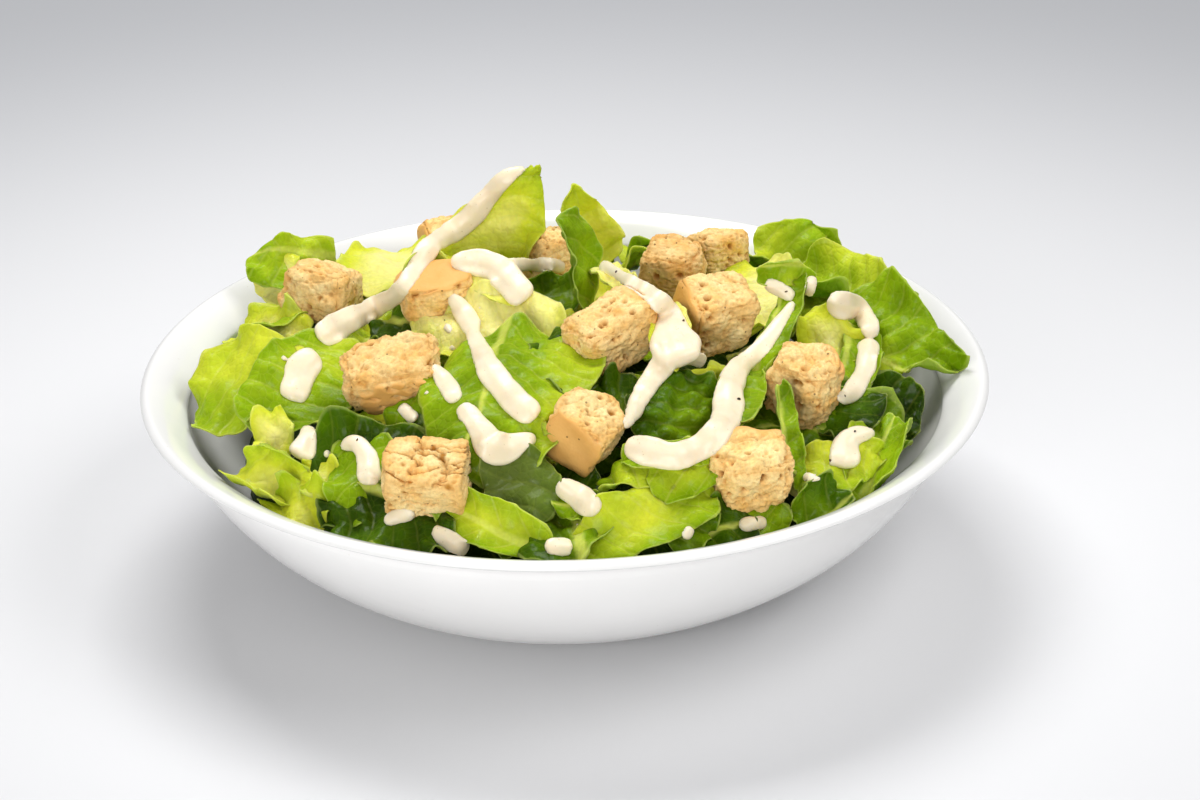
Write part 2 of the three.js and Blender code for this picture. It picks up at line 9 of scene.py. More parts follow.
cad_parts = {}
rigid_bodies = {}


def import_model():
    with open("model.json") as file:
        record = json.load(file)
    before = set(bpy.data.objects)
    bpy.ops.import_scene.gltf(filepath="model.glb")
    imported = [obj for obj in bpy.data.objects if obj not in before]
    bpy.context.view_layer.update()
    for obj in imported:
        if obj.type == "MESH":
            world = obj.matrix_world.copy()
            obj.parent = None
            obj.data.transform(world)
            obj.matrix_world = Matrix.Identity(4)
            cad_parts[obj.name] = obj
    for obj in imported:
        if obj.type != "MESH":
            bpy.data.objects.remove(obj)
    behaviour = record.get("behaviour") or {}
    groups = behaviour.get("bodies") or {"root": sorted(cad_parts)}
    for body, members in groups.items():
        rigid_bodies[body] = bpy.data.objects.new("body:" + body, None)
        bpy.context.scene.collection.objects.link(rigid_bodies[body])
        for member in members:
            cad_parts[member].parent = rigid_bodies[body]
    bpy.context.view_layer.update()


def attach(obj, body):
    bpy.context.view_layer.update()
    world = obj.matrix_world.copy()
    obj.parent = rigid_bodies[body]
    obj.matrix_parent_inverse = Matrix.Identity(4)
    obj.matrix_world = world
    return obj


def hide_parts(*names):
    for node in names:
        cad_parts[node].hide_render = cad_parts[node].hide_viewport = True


# Caesar salad in a coupe bowl. Sizes are in millimetres until a mesh is made, +Z is up.

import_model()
mm = 0.001
rad = math.radians


# Small tools

def hexColour(text):
    channels = [int(text[k:k + 2], 16) / 255 for k in (1, 3, 5)]
    return tuple(c / 12.92 if c < 0.04045 else ((c + 0.055) / 1.055) ** 2.4 for c in channels) + (1.0,)


def setInputs(tree, node, inputs):
    # sets each value and links each socket, by the input's name or number. Map Range has its value at 0, the
    # range that it comes from at 1 and 2 and the range it goes to at 3 and 4; Mix has its share at 0 and its
    # colours at 6 and 7
    for name, value in inputs.items():
        if isinstance(value, bpy.types.NodeSocket):
            tree.links.new(value, node.inputs[name])
        else:
            node.inputs[name].default_value = value


def addNode(tree, kind, inputs=None, **settings):
    node = tree.nodes.new(kind)
    for name, value in settings.items():
        setattr(node, name, value)
    setInputs(tree, node, inputs or {})
    return node


def newMaterial(name):
    material = bpy.data.materials.new(name)
    material.use_nodes = True
    return material, material.node_tree, material.node_tree.nodes["Principled BSDF"]


def newObject(name, data):
    made = bpy.data.objects.new(name, data)
    bpy.context.collection.objects.link(made)
    return made


def geometryTree(name, inputs):
    tree = bpy.data.node_groups.new(name, "GeometryNodeTree")
    tree.interface.new_socket("Geometry", in_out="OUTPUT", socket_type="NodeSocketGeometry")
    tree.interface.new_socket("Geometry", in_out="INPUT", socket_type="NodeSocketGeometry")
    for label, kind in inputs.items():
        tree.interface.new_socket(label, in_out="INPUT", socket_type="NodeSocket" + kind)
    return tree, addNode(tree, "NodeGroupInput").outputs


def endTree(tree, geometry, material):
    realized = addNode(tree, "GeometryNodeRealizeInstances", {0: geometry})
    finished = addNode(tree, "GeometryNodeSetMaterial", {
        "Geometry": realized.outputs[0], "Material": material})
    addNode(tree, "NodeGroupOutput", {0: finished.outputs[0]})


def throughNodes(mesh, tree, values, name):
    # runs a mesh through a tree and gives a plain object at the origin
    carrier = newObject(name + "Carrier", mesh)
    modifier = carrier.modifiers.new(tree.name, "NODES")
    modifier.node_group = tree
    for item in tree.interface.items_tree:
        if item.item_type == "SOCKET" and item.in_out == "INPUT" and item.name in values:
            modifier[item.identifier] = values[item.name]
    graph = bpy.context.evaluated_depsgraph_get()
    made = bpy.data.meshes.new_from_object(
        carrier.evaluated_get(graph), preserve_all_data_layers=True, depsgraph=graph)
    made.name = name
    bpy.data.objects.remove(carrier)
    return newObject(name, made)


def plainMesh(name, points, quads, attributes=None, uv=None):
    # points in millimetres; attributes are floats, one for each point
    mesh = bpy.data.meshes.new(name)
    points = np.asarray(points, float).reshape(-1, 3) * mm
    quads = np.asarray(quads, np.int32).reshape(-1, 4)
    mesh.vertices.add(len(points))
    mesh.vertices.foreach_set("co", points.ravel())
    mesh.loops.add(quads.size)
    mesh.loops.foreach_set("vertex_index", quads.ravel())
    mesh.polygons.add(len(quads))
    mesh.polygons.foreach_set("loop_start", np.arange(0, quads.size, 4, dtype=np.int32))
    mesh.update(calc_edges=True)
    for key, values in (attributes or {}).items():
        layer = mesh.attributes.new(key, "FLOAT", "POINT")
        layer.data.foreach_set("value", np.asarray(values, np.float32).ravel())
    if uv is not None:
        layer = mesh.uv_layers.new(name="flat")
        layer.data.foreach_set("uv", np.asarray(uv, np.float32).reshape(-1, 2)[quads.ravel()].ravel())
    mesh.shade_smooth()
    return mesh


def meshPoints(mesh):
    places = np.empty(len(mesh.vertices) * 3)
    mesh.vertices.foreach_get("co", places)
    return places.reshape(-1, 3)


def meshTriangles(mesh):
    corners = np.empty(len(mesh.loop_triangles) * 3, np.int32)
    mesh.loop_triangles.foreach_get("vertices", corners)
    return corners.reshape(-1, 3)


def draw(seed, place):
    # a number from 0 to 1, the same each run for a seed and a place among its draws
    value = math.sin(seed * 12.9898 + place * 78.233) * 43758.5453
    return value - math.floor(value)


def between(low, high, seed, place):
    return low + (high - low) * draw(seed, place)


def smoothStep(low, high, value):
    part = np.clip((value - low) / (high - low), 0, 1)
    return part * part * (3 - 2 * part)


def hashed(a, b, seed):
    # a number from 0 to 1 for each cell (a, b), as arrays
    value = np.sin(a * 127.1 + b * 311.7 + seed * 74.7) * 43758.5453
    return value - np.floor(value)


def nearCell(u, v, size, seed):
    # distance to the nearest of scattered points, one to a cell of that size
    nearest = np.full(u.shape, 1e9)
    a, b = np.floor(u / size), np.floor(v / size)
    for i in (-1, 0, 1):
        for j in (-1, 0, 1):
            x = (a + i + 0.15 + 0.7 * hashed(a + i, b + j, seed)) * size
            y = (b + j + 0.15 + 0.7 * hashed(a + i, b + j, seed + 7)) * size
            nearest = np.minimum(nearest, np.hypot(u - x, v - y))
    return nearest


def finishPiece(piece, material, slot, *nodes):
    if material is not None:
        piece.data.materials.clear()
        piece.data.materials.append(material)
    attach(piece, "root")
    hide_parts(*nodes)
    return piece


# Bowl: glazed white stoneware, a profile turned round Z

bowl = dict(
    rimRadius=110, rimHeight=52, footRadius=47, footRingWidth=4.5, footRecess=1.5, floorHeight=5,
    shoulderHeight=47, shoulderRadius=102, shoulderWall=3.3, lipSlope=1.6, lipInset=3.6,
    flare=1.55, roundness=1.5, segments=256, wallSteps=34, lipDepth=4, undersideStep=18,
    # the rolled lip between the outer and the inner wall, as (radius, height)
    lip=((101.8, 45.5), (103.8, 47.5), (107, 48.8), (109.6, 50.1), (109.9, 51), (108.6, 51.95),
         (107, 51.7), (103.4, 49.8)),
    glazeLight="#f6f5f3", glazeShade="#efeeec", ironSpeck="#cfc5b2", bareClay="#d9cfbd",
)


def coupeCurve(height):
    rest = 1 - np.clip(height, 0, 1)
    return (1 - rest ** bowl["flare"]) ** (1 / bowl["roundness"])


def outerRadius(z):
    reach = bowl["shoulderRadius"] - bowl["footRadius"]
    return bowl["footRadius"] + reach * coupeCurve(z / bowl["shoulderHeight"])


def innerRadius(z):
    shoulder = bowl["shoulderRadius"] - bowl["shoulderWall"]
    height = (z - bowl["floorHeight"]) / (bowl["shoulderHeight"] - bowl["floorHeight"])
    wall = bowl["footRadius"] + (shoulder - bowl["footRadius"]) * coupeCurve(height)
    lip = shoulder + (z - bowl["shoulderHeight"]) * bowl["lipSlope"]
    return np.where(z > bowl["shoulderHeight"], np.minimum(lip, bowl["rimRadius"] - bowl["lipInset"]), wall)


def smoothPath(points, steps):
    # a rounded path through the points, with that many steps from each to the next
    points = np.asarray(points, float)
    padded = np.vstack([2 * points[0] - points[1], points, 2 * points[-1] - points[-2]])
    run = []
    for k in range(len(points) - 1):
        a, b, c, d = padded[k:k + 4]
        for part in np.arange(steps) / steps:
            run.append(b + 0.5 * part * (c - a + part * (2 * a - 5 * b + 4 * c - d
                                                         + part * (3 * (b - c) + d - a))))
    return np.array(run + [points[-1]])


def bowlProfile():
    # from the middle of the underside out to the lip and back along the inside, as (radius, height)
    foot, ring = bowl["footRadius"], bowl["footRadius"] - bowl["footRingWidth"]
    recess, floorHeight, shoulder = bowl["footRecess"], bowl["floorHeight"], bowl["shoulderHeight"]
    steps, lipStart = bowl["wallSteps"], shoulder - bowl["lipDepth"]
    under = [(0, recess)] + [(ring - recess - bowl["undersideStep"] * k, recess) for k in (2, 1, 0)]
    footRing = smoothPath([(ring - recess, recess), (ring - 0.6, 0.45), (ring + 0.5, 0),
                           (foot - 0.8, 0), (foot, 0.7)], 4)
    outerHeights = shoulder * (np.arange(1, steps) / steps) ** 1.6
    outside = [(float(outerRadius(z)), z) for z in outerHeights if 1.2 < z < lipStart - 0.5]
    fromLip = [(float(innerRadius(z)), z) for z in (shoulder - 1, shoulder - 3)]
    lip = smoothPath([(float(outerRadius(lipStart)), lipStart), *bowl["lip"], *fromLip], 5)
    innerHeights = floorHeight + (lipStart - floorHeight) * (np.arange(steps, 0, -1) / steps) ** 2
    inside = [(float(innerRadius(z)), z) for z in innerHeights]
    floor = [(foot, floorHeight + 0.03), (foot * 0.6, floorHeight - 0.02), (foot * 0.25, floorHeight),
             (0, floorHeight)]
    return np.vstack([under, footRing[1:], outside, lip, inside, floor])


def latheTree():
    # turns the profile's points round Z into one closed skin
    tree, given = geometryTree("turnedProfile", {
        "Segments": "Int", "ProfilePoints": "Int", "Material": "Material"})
    rings = addNode(tree, "ShaderNodeMath", {0: given["Segments"], 1: 1.0}, operation="ADD")
    grid = addNode(tree, "GeometryNodeMeshGrid",
                   {"Vertices X": rings.outputs[0], "Vertices Y": given["ProfilePoints"]})
    index = addNode(tree, "GeometryNodeInputIndex").outputs[0]
    share = addNode(tree, "ShaderNodeMath", {0: index, 1: given["ProfilePoints"]}, operation="DIVIDE")
    ring = addNode(tree, "ShaderNodeMath", {0: share.outputs[0]}, operation="FLOOR")
    step = addNode(tree, "ShaderNodeMath", {0: index, 1: given["ProfilePoints"]}, operation="MODULO")
    onProfile = addNode(tree, "GeometryNodeInputPosition").outputs[0]
    sample = addNode(tree, "GeometryNodeSampleIndex", {"Geometry": given["Geometry"], "Value": onProfile,
                                                       "Index": step.outputs[0]}, data_type="FLOAT_VECTOR")
    radius = addNode(tree, "ShaderNodeSeparateXYZ", {0: sample.outputs[0]})
    around = addNode(tree, "ShaderNodeMath", {0: ring.outputs[0], 1: given["Segments"]}, operation="DIVIDE")
    angle = addNode(tree, "ShaderNodeMath", {0: around.outputs[0], 1: 2 * math.pi}, operation="MULTIPLY")
    cosine = addNode(tree, "ShaderNodeMath", {0: angle.outputs[0]}, operation="COSINE")
    sine = addNode(tree, "ShaderNodeMath", {0: angle.outputs[0]}, operation="SINE")
    x = addNode(tree, "ShaderNodeMath", {0: cosine.outputs[0], 1: radius.outputs[0]}, operation="MULTIPLY")
    y = addNode(tree, "ShaderNodeMath", {0: sine.outputs[0], 1: radius.outputs[0]}, operation="MULTIPLY")
    place = addNode(tree, "ShaderNodeCombineXYZ", {0: x.outputs[0], 1: y.outputs[0], 2: radius.outputs[2]})
    turned = addNode(tree, "GeometryNodeSetPosition", {"Geometry": grid.outputs["Mesh"],
                                                       "Position": place.outputs[0]})
    closed = addNode(tree, "GeometryNodeMergeByDistance", {"Geometry": turned.outputs[0], "Distance": 1e-6})
    smooth = addNode(tree, "GeometryNodeSetShadeSmooth", {"Geometry": closed.outputs[0]})
    endTree(tree, smooth.outputs[0], given["Material"])
    return tree


def facedOutwards(mesh):
    # turns every face over where the closed mesh holds a negative volume
    a, b, c = meshPoints(mesh)[meshTriangles(mesh)].transpose(1, 0, 2)
    if np.einsum("ij,ij->i", a, np.cross(b, c)).sum() < 0:
        mesh.flip_normals()


def glazedStoneware():
    # Tin-white glaze over fired clay: a soft sheet of gloss, faint waves, a few iron specks, bare foot ring
    material, tree, shader = newMaterial("glazedStoneware")
    place = addNode(tree, "ShaderNodeTexCoord").outputs["Object"]
    cloud = addNode(tree, "ShaderNodeTexNoise", {
        "Vector": place, "Scale": 1 / (26 * mm), "Detail": 3.0}).outputs[0]
    cells = addNode(tree, "ShaderNodeTexVoronoi", {"Vector": place, "Scale": 1 / (5 * mm)})
    speck = addNode(tree, "ShaderNodeMapRange", {
        0: cells.outputs["Distance"], 1: 0.025, 2: 0.05, 3: 0.35, 4: 0.0}).outputs[0]
    height = addNode(tree, "ShaderNodeSeparateXYZ", {0: place}).outputs[2]
    unglazed = addNode(tree, "ShaderNodeMapRange", {
        0: height, 1: 0.3 * mm, 2: 0.9 * mm, 3: 1.0, 4: 0.0}).outputs[0]
    # each layer covers part of the one before it
    tint = hexColour(bowl["glazeShade"])
    for share, colour in ((cloud, "glazeLight"), (speck, "ironSpeck"), (unglazed, "bareClay")):
        tint = addNode(tree, "ShaderNodeMix", {0: share, 6: tint, 7: hexColour(bowl[colour])},
                       data_type="RGBA").outputs[2]
    rough = addNode(tree, "ShaderNodeMapRange", {0: unglazed, 1: 0.0, 2: 1.0, 3: 0.13, 4: 0.75})
    wave = addNode(tree, "ShaderNodeTexNoise", {"Vector": place, "Scale": 1 / (9 * mm), "Detail": 2.0})
    bump = addNode(tree, "ShaderNodeBump", {
        "Height": wave.outputs[0], "Strength": 0.12, "Distance": 0.4 * mm})
    setInputs(tree, shader, {
        "Base Color": tint, "Roughness": rough.outputs[0], "Normal": bump.outputs[0],
        "IOR": 1.52})
    return material


def makeBowl():
    profile = bowlProfile()
    points = np.stack([profile[:, 0], np.zeros(len(profile)), profile[:, 1]], 1)
    mesh = plainMesh("bowlProfile", points, np.empty((0, 4)))
    piece = throughNodes(mesh, latheTree(), {"Segments": bowl["segments"], "ProfilePoints": len(points),
                                             "Material": glazedStoneware()}, "stonewareBowl")
    facedOutwards(piece.data)
    return finishPiece(piece, None, "bowl", "bowl")


dish = makeBowl()
print("bowl turned")


# Croutons: rough cubes of toasted bread. turn is in degrees, crust is the side, in the bowl's
# directions, that kept its crust, and the rest is how baked, worn, blunt and torn one is

croutons = [
    dict(place=(-65, 31, 61), size=(18, 15, 14), turn=(-14, 6, -24), crust=(-1, 0.2, -0.4), bake=0.12,
         worn=0.1),
    dict(place=(-33, 78, 55), size=(13, 12, 11), turn=(8, 0, 20), crust=(-1, 0, 0.2)),
    dict(place=(-33, 9, 69), size=(18, 14, 12), turn=(10, -8, 14), crust=(0, -0.1, 1), bake=0.12),
    dict(place=(-3, 36, 67), size=(13, 12, 15), turn=(0, 10, 30), crust=(1, 0, 0)),
    dict(place=(29, 22, 70), size=(15, 13, 13), turn=(12, 4, -16), crust=(0, 1, 0.2), bake=0.28),
    dict(place=(42, 48, 63), size=(14, 12, 11), turn=(-10, 6, 30), crust=(-1, 0, 0)),
    dict(place=(39, -6, 69), size=(17, 15, 17), turn=(18, 4, 24), crust=(-1, -0.4, 0), holes=1.3),
    dict(place=(-43, -30, 65), size=(24, 16, 13), turn=(24, -10, 4), crust=(0.7, -0.6, -0.5), bake=0.14,
         worn=0.13, holes=1.2, lumps=2.0),
    dict(place=(12, -20, 70), size=(21, 14, 15), turn=(10, -14, 38), crust=(1, 0.2, 0.3), bake=0.1,
         holes=1.8),
    dict(place=(5, -59, 62), size=(15, 14, 15), turn=(13, 27, -21), crust=(-0.45, -0.87, -0.2), blunt=0.8),
    dict(place=(-33, -73, 56), size=(19, 14, 16), turn=(26, 2, -6), crust=(0, 1, -0.3), worn=0, blunt=0.5,
         holes=0.35, lumps=0.5, cracks=6),
    dict(place=(45, -69, 55), size=(18, 15, 17), turn=(24, 0, 10), crust=(0, 0.75, 0.66), bake=0.0,
         worn=0.15, holes=2.8, lumps=1.6, cracks=1.4),
    dict(place=(60, -33, 61), size=(16, 15, 18), turn=(12, 14, -24), crust=(0.9, 0.5, 0), worn=0.13,
         lumps=1.9),
]


croutonDefaults = dict(bake=0.08, worn=0.08, blunt=1.2, holes=1, lumps=1, cracks=1)
croutonLook = dict(
    cuts=56, swell=1.0, holeSize=2.9, holeDepth=1.0, grainSize=0.75, grainDepth=0.55, lumpSize=3.6,
    lumpDepth=0.75, crackSize=5.0, crackDepth=0.28, crustDent=0.2, crustFrom=0.68, crustTo=0.78,
    # the hollow colour is painted shade for the pits, pores and cracks
    crumbLight="#ffe6a6", crumbShade="#f4c170", hollow="#b07a33", corner="#dd9f45",
    crustLight="#fccb7e", crustShade="#e6a650", baked="#c07f35", herb="#5a3a1a",
)


def croutonShape(crouton, seed, cuts):
    # six sides of a cube, rounded and skewed; the same shape as the rigid crouton
    line = np.linspace(-1, 1, cuts + 1)
    corner = np.arange((cuts + 1) ** 2).reshape(cuts + 1, cuts + 1)
    side = np.stack([corner[:-1, :-1], corner[1:, :-1], corner[1:, 1:], corner[:-1, 1:]], -1).reshape(-1, 4)
    u, v = np.meshgrid(line, line, indexing="ij")
    points, quads = [], []
    for axis in range(3):
        for sign in (-1, 1):
            face = np.empty((corner.size, 3))
            face[:, axis] = sign
            face[:, (axis + 1) % 3] = u.ravel()
            face[:, (axis + 2) % 3] = v.ravel()
            quads.append((side if sign > 0 else side[:, ::-1]) + len(points) * corner.size)
            points.append(face)
    points, quads = np.vstack(points), np.vstack(quads)
    _, kept, joined = np.unique(np.round(points * 1e4).astype(int), axis=0, return_index=True,
                                return_inverse=True)
    points, quads = points[kept], joined.reshape(-1)[quads]
    square = np.abs(points).max(axis=1)
    soft = (points ** 8).sum(axis=1) ** (1 / 8)
    x, y, z = points.T
    # slow waves and a lean, drawn anew for each crouton
    crag = (np.sin(4.3 * x + 9 * draw(seed, 1)) * np.sin(3.7 * y + 9 * draw(seed, 2))
            + np.sin(5.1 * z + 3.1 * x + 9 * draw(seed, 3)) * np.sin(2.9 * y + 9 * draw(seed, 4)))
    lean = 1 + between(-0.09, 0.09, seed, 5) * z
    points = points * ((square / soft) ** crouton["blunt"] * (1 + 0.05 * crag))[:, None]
    worn = smoothStep(1.7, 3, np.abs(x) + np.abs(y) + np.abs(z)) * crouton["worn"]
    points = points * (1 - worn)[:, None]
    skew = 1 + between(-0.08, 0.08, seed, 6) * points[:, 0]
    width, depth, height = crouton["size"]
    points = points * np.stack([lean * width / 2, skew * depth / 2, np.full(len(x), height / 2)], 1)
    nearEdge = np.sort(np.abs(np.stack([x, y, z], 1)), axis=1)[:, 1]
    return points, quads, nearEdge


def pointNormals(points, quads):
    a, b, c, d = points[quads].transpose(1, 0, 2)
    across = np.cross(c - a, d - b)
    normals = np.zeros_like(points)
    for k in range(4):
        np.add.at(normals, quads[:, k], across)
    return normals / np.maximum(np.linalg.norm(normals, axis=1, keepdims=True), 1e-9)


def crumbTree():
    # presses holes, pores, torn lumps and cracks into the crumb, and shallow dents into the crust
    tree, given = geometryTree("toastedCrumb", {
        **dict.fromkeys(("Seed", "HoleSize", "HoleDepth", "GrainSize", "GrainDepth", "LumpSize", "LumpDepth",
                         "CrackSize", "CrackDepth", "CrustDent", "Swell"), "Float"),
        "Material": "Material"})
    place = addNode(tree, "GeometryNodeInputPosition").outputs[0]
    shift = addNode(tree, "ShaderNodeCombineXYZ", {0: given["Seed"], 1: given["Seed"]}).outputs[0]
    moved = addNode(tree, "ShaderNodeVectorMath", {0: place, 1: shift}, operation="ADD").outputs[0]
    crust = addNode(tree, "GeometryNodeInputNamedAttribute", {"Name": "crust"}, data_type="FLOAT").outputs[0]
    crumb = addNode(tree, "ShaderNodeMath", {0: 1.0, 1: crust}, operation="SUBTRACT").outputs[0]
    holeScale, grainScale, lumpScale, crackScale = (
        addNode(tree, "ShaderNodeMath", {0: 1.0, 1: given[size]}, operation="DIVIDE").outputs[0]
        for size in ("HoleSize", "GrainSize", "LumpSize", "CrackSize"))
    poreScale = addNode(tree, "ShaderNodeMath", {0: grainScale, 1: 0.5}, operation="MULTIPLY").outputs[0]

    # round holes in some patches, fine pores and grain
    hole = addNode(tree, "ShaderNodeTexVoronoi", {"Vector": moved, "Scale": holeScale}).outputs["Distance"]
    pit = addNode(tree, "ShaderNodeMapRange", {0: hole, 1: 0.42, 2: 0.16, 3: 0.0, 4: 1.0},
                  interpolation_type="SMOOTHSTEP").outputs[0]
    patch = addNode(tree, "ShaderNodeTexNoise", {
        "Vector": moved, "Scale": lumpScale, "Detail": 1.0}).outputs[0]
    some = addNode(tree, "ShaderNodeMapRange", {0: patch, 1: 0.52, 2: 0.6, 3: 0.0, 4: 1.0}).outputs[0]
    pits = addNode(tree, "ShaderNodeMath", {0: pit, 1: some}, operation="MULTIPLY").outputs[0]
    pore = addNode(tree, "ShaderNodeTexVoronoi", {"Vector": moved, "Scale": poreScale}).outputs["Distance"]
    pores = addNode(tree, "ShaderNodeMapRange", {0: pore, 1: 0.45, 2: 0.1, 3: 0.0, 4: 1.0},
                    interpolation_type="SMOOTHSTEP").outputs[0]
    grain = addNode(tree, "ShaderNodeTexNoise", {
        "Vector": moved, "Scale": grainScale, "Detail": 3.0, "Roughness": 0.65}).outputs[0]

    # torn lumps, and cracks that lie in layers
    lump = addNode(tree, "ShaderNodeTexNoise", {
        "Vector": moved, "Scale": lumpScale, "Detail": 5.0, "Roughness": 0.62}).outputs[0]
    torn = addNode(tree, "ShaderNodeMapRange", {0: lump, 1: 0.38, 2: 0.68, 3: 0.0, 4: 1.0}).outputs[0]
    layers = addNode(tree, "ShaderNodeVectorMath", {0: moved, 1: (0.35, 0.35, 1.5)},
                     operation="MULTIPLY").outputs[0]
    layer = addNode(tree, "ShaderNodeTexNoise", {
        "Vector": layers, "Scale": crackScale, "Detail": 3.0}).outputs[0]
    fromCrack = addNode(tree, "ShaderNodeMath", {0: layer, 1: 0.5}, operation="SUBTRACT").outputs[0]
    crackGap = addNode(tree, "ShaderNodeMath", {0: fromCrack}, operation="ABSOLUTE").outputs[0]
    cracks = addNode(tree, "ShaderNodeMapRange", {0: crackGap, 1: 0.028, 2: 0.006, 3: 0.0, 4: 1.0},
                     interpolation_type="SMOOTHSTEP").outputs[0]

    # all of them as one depth, less on the crust
    poreAndGrain = addNode(tree, "ShaderNodeMath", {0: pores, 1: 0.8, 2: grain},
                           operation="MULTIPLY_ADD").outputs[0]
    summed = addNode(tree, "ShaderNodeMath", {0: pits, 1: given["HoleDepth"]},
                     operation="MULTIPLY").outputs[0]
    for relief, size in ((poreAndGrain, "GrainDepth"), (torn, "LumpDepth"), (cracks, "CrackDepth")):
        summed = addNode(tree, "ShaderNodeMath", {0: relief, 1: given[size], 2: summed},
                         operation="MULTIPLY_ADD").outputs[0]
    crumbDepth = addNode(tree, "ShaderNodeMath", {0: summed, 1: crumb}, operation="MULTIPLY").outputs[0]
    dent = addNode(tree, "ShaderNodeMath", {0: grain, 1: given["CrustDent"]}, operation="MULTIPLY").outputs[0]
    depth = addNode(tree, "ShaderNodeMath", {0: dent, 1: crust, 2: crumbDepth},
                    operation="MULTIPLY_ADD").outputs[0]
    inward = addNode(tree, "ShaderNodeMath", {0: given["Swell"], 1: depth}, operation="SUBTRACT").outputs[0]
    normal = addNode(tree, "GeometryNodeInputNormal").outputs[0]
    offset = addNode(tree, "ShaderNodeVectorMath", {0: normal, 3: inward}, operation="SCALE").outputs[0]

    # painted shade in the pits, pores and cracks: how hollow each point is, for its colour
    poreShade = addNode(tree, "ShaderNodeMath", {0: pores, 1: 0.3, 2: pits},
                        operation="MULTIPLY_ADD").outputs[0]
    shade = addNode(tree, "ShaderNodeMath", {0: cracks, 1: 0.3, 2: poreShade},
                    operation="MULTIPLY_ADD").outputs[0]
    hollow = addNode(tree, "ShaderNodeMath", {0: shade, 1: crumb}, operation="MULTIPLY",
                     use_clamp=True).outputs[0]
    marked = addNode(tree, "GeometryNodeStoreNamedAttribute", {
        "Geometry": given["Geometry"], "Name": "hollow", "Value": hollow}, data_type="FLOAT", domain="POINT")
    pressed = addNode(tree, "GeometryNodeSetPosition", {"Geometry": marked.outputs[0], "Offset": offset})
    smooth = addNode(tree, "GeometryNodeSetShadeSmooth", {"Geometry": pressed.outputs[0]})
    endTree(tree, smooth.outputs[0], given["Material"])
    return tree


def toastedBread():
    # White bread cubes baked in oil: dry pale crumb, corners browned, painted shade in the pits, pores and
    # cracks, one smooth tan crust
    material, tree, shader = newMaterial("toastedBread")
    place = addNode(tree, "ShaderNodeTexCoord").outputs["Object"]
    crust, hollow, corner, bake = (
        addNode(tree, "ShaderNodeAttribute", attribute_name=name).outputs["Fac"]
        for name in ("crust", "hollow", "corner", "bake"))
    cloud = addNode(tree, "ShaderNodeTexNoise", {
        "Vector": place, "Scale": 1 / (6 * mm), "Detail": 4.0}).outputs[0]
    crumbTone = addNode(tree, "ShaderNodeValToRGB", {0: cloud})
    low, high = crumbTone.color_ramp.elements
    low.position, low.color = 0.3, hexColour(croutonLook["crumbShade"])
    high.position, high.color = 0.66, hexColour(croutonLook["crumbLight"])
    # the crumb's pores, drawn at the size of the larger ones
    fine = addNode(tree, "ShaderNodeTexNoise", {
        "Vector": place, "Scale": 1 / (0.7 * mm), "Detail": 3.0}).outputs[0]
    speckled = addNode(tree, "ShaderNodeMapRange", {0: fine, 1: 0.35, 2: 0.7, 3: 0.9, 4: 1.16}).outputs[0]
    cornerCloud = addNode(tree, "ShaderNodeMath", {0: cloud, 1: 0.45, 2: corner},
                          operation="MULTIPLY_ADD").outputs[0]
    browned = addNode(tree, "ShaderNodeMapRange", {
        0: cornerCloud, 1: 0.95, 2: 1.35, 3: 0.0, 4: 0.6}).outputs[0]
    crustTone = addNode(tree, "ShaderNodeMix", {
        0: cloud, 6: hexColour(croutonLook["crustShade"]), 7: hexColour(croutonLook["crustLight"])},
        data_type="RGBA").outputs[2]
    cells = addNode(tree, "ShaderNodeTexVoronoi", {"Vector": place, "Scale": 1 / (3.4 * mm)})
    herb = addNode(tree, "ShaderNodeMapRange", {
        0: cells.outputs["Distance"], 1: 0.06, 2: 0.1, 3: 0.75, 4: 0.0}).outputs[0]
    # each layer covers part of the one before it
    tint = addNode(tree, "ShaderNodeVectorMath", {0: crumbTone.outputs[0], 3: speckled},
                   operation="SCALE").outputs[0]
    # the first layer is painted shade, darker in the pits, pores and cracks
    for share, colour in (
            (hollow, hexColour(croutonLook["hollow"])), (browned, hexColour(croutonLook["corner"])),
            (crust, crustTone), (bake, hexColour(croutonLook["baked"])),
            (herb, hexColour(croutonLook["herb"]))):
        tint = addNode(tree, "ShaderNodeMix", {0: share, 6: tint, 7: colour}, data_type="RGBA").outputs[2]
    rough = addNode(tree, "ShaderNodeMapRange", {0: crust, 1: 0.0, 2: 1.0, 3: 0.9, 4: 0.55}).outputs[0]
    bump = addNode(tree, "ShaderNodeBump", {
        "Height": fine, "Strength": 0.5, "Distance": 0.25 * mm}).outputs[0]
    setInputs(tree, shader, {
        "Base Color": tint, "Roughness": rough, "Normal": bump, "IOR": 1.4, "Subsurface Weight": 0.1,
        "Subsurface Radius": (1.0, 0.7, 0.4), "Subsurface Scale": 1.0 * mm, "Specular IOR Level": 0.3})
    return material


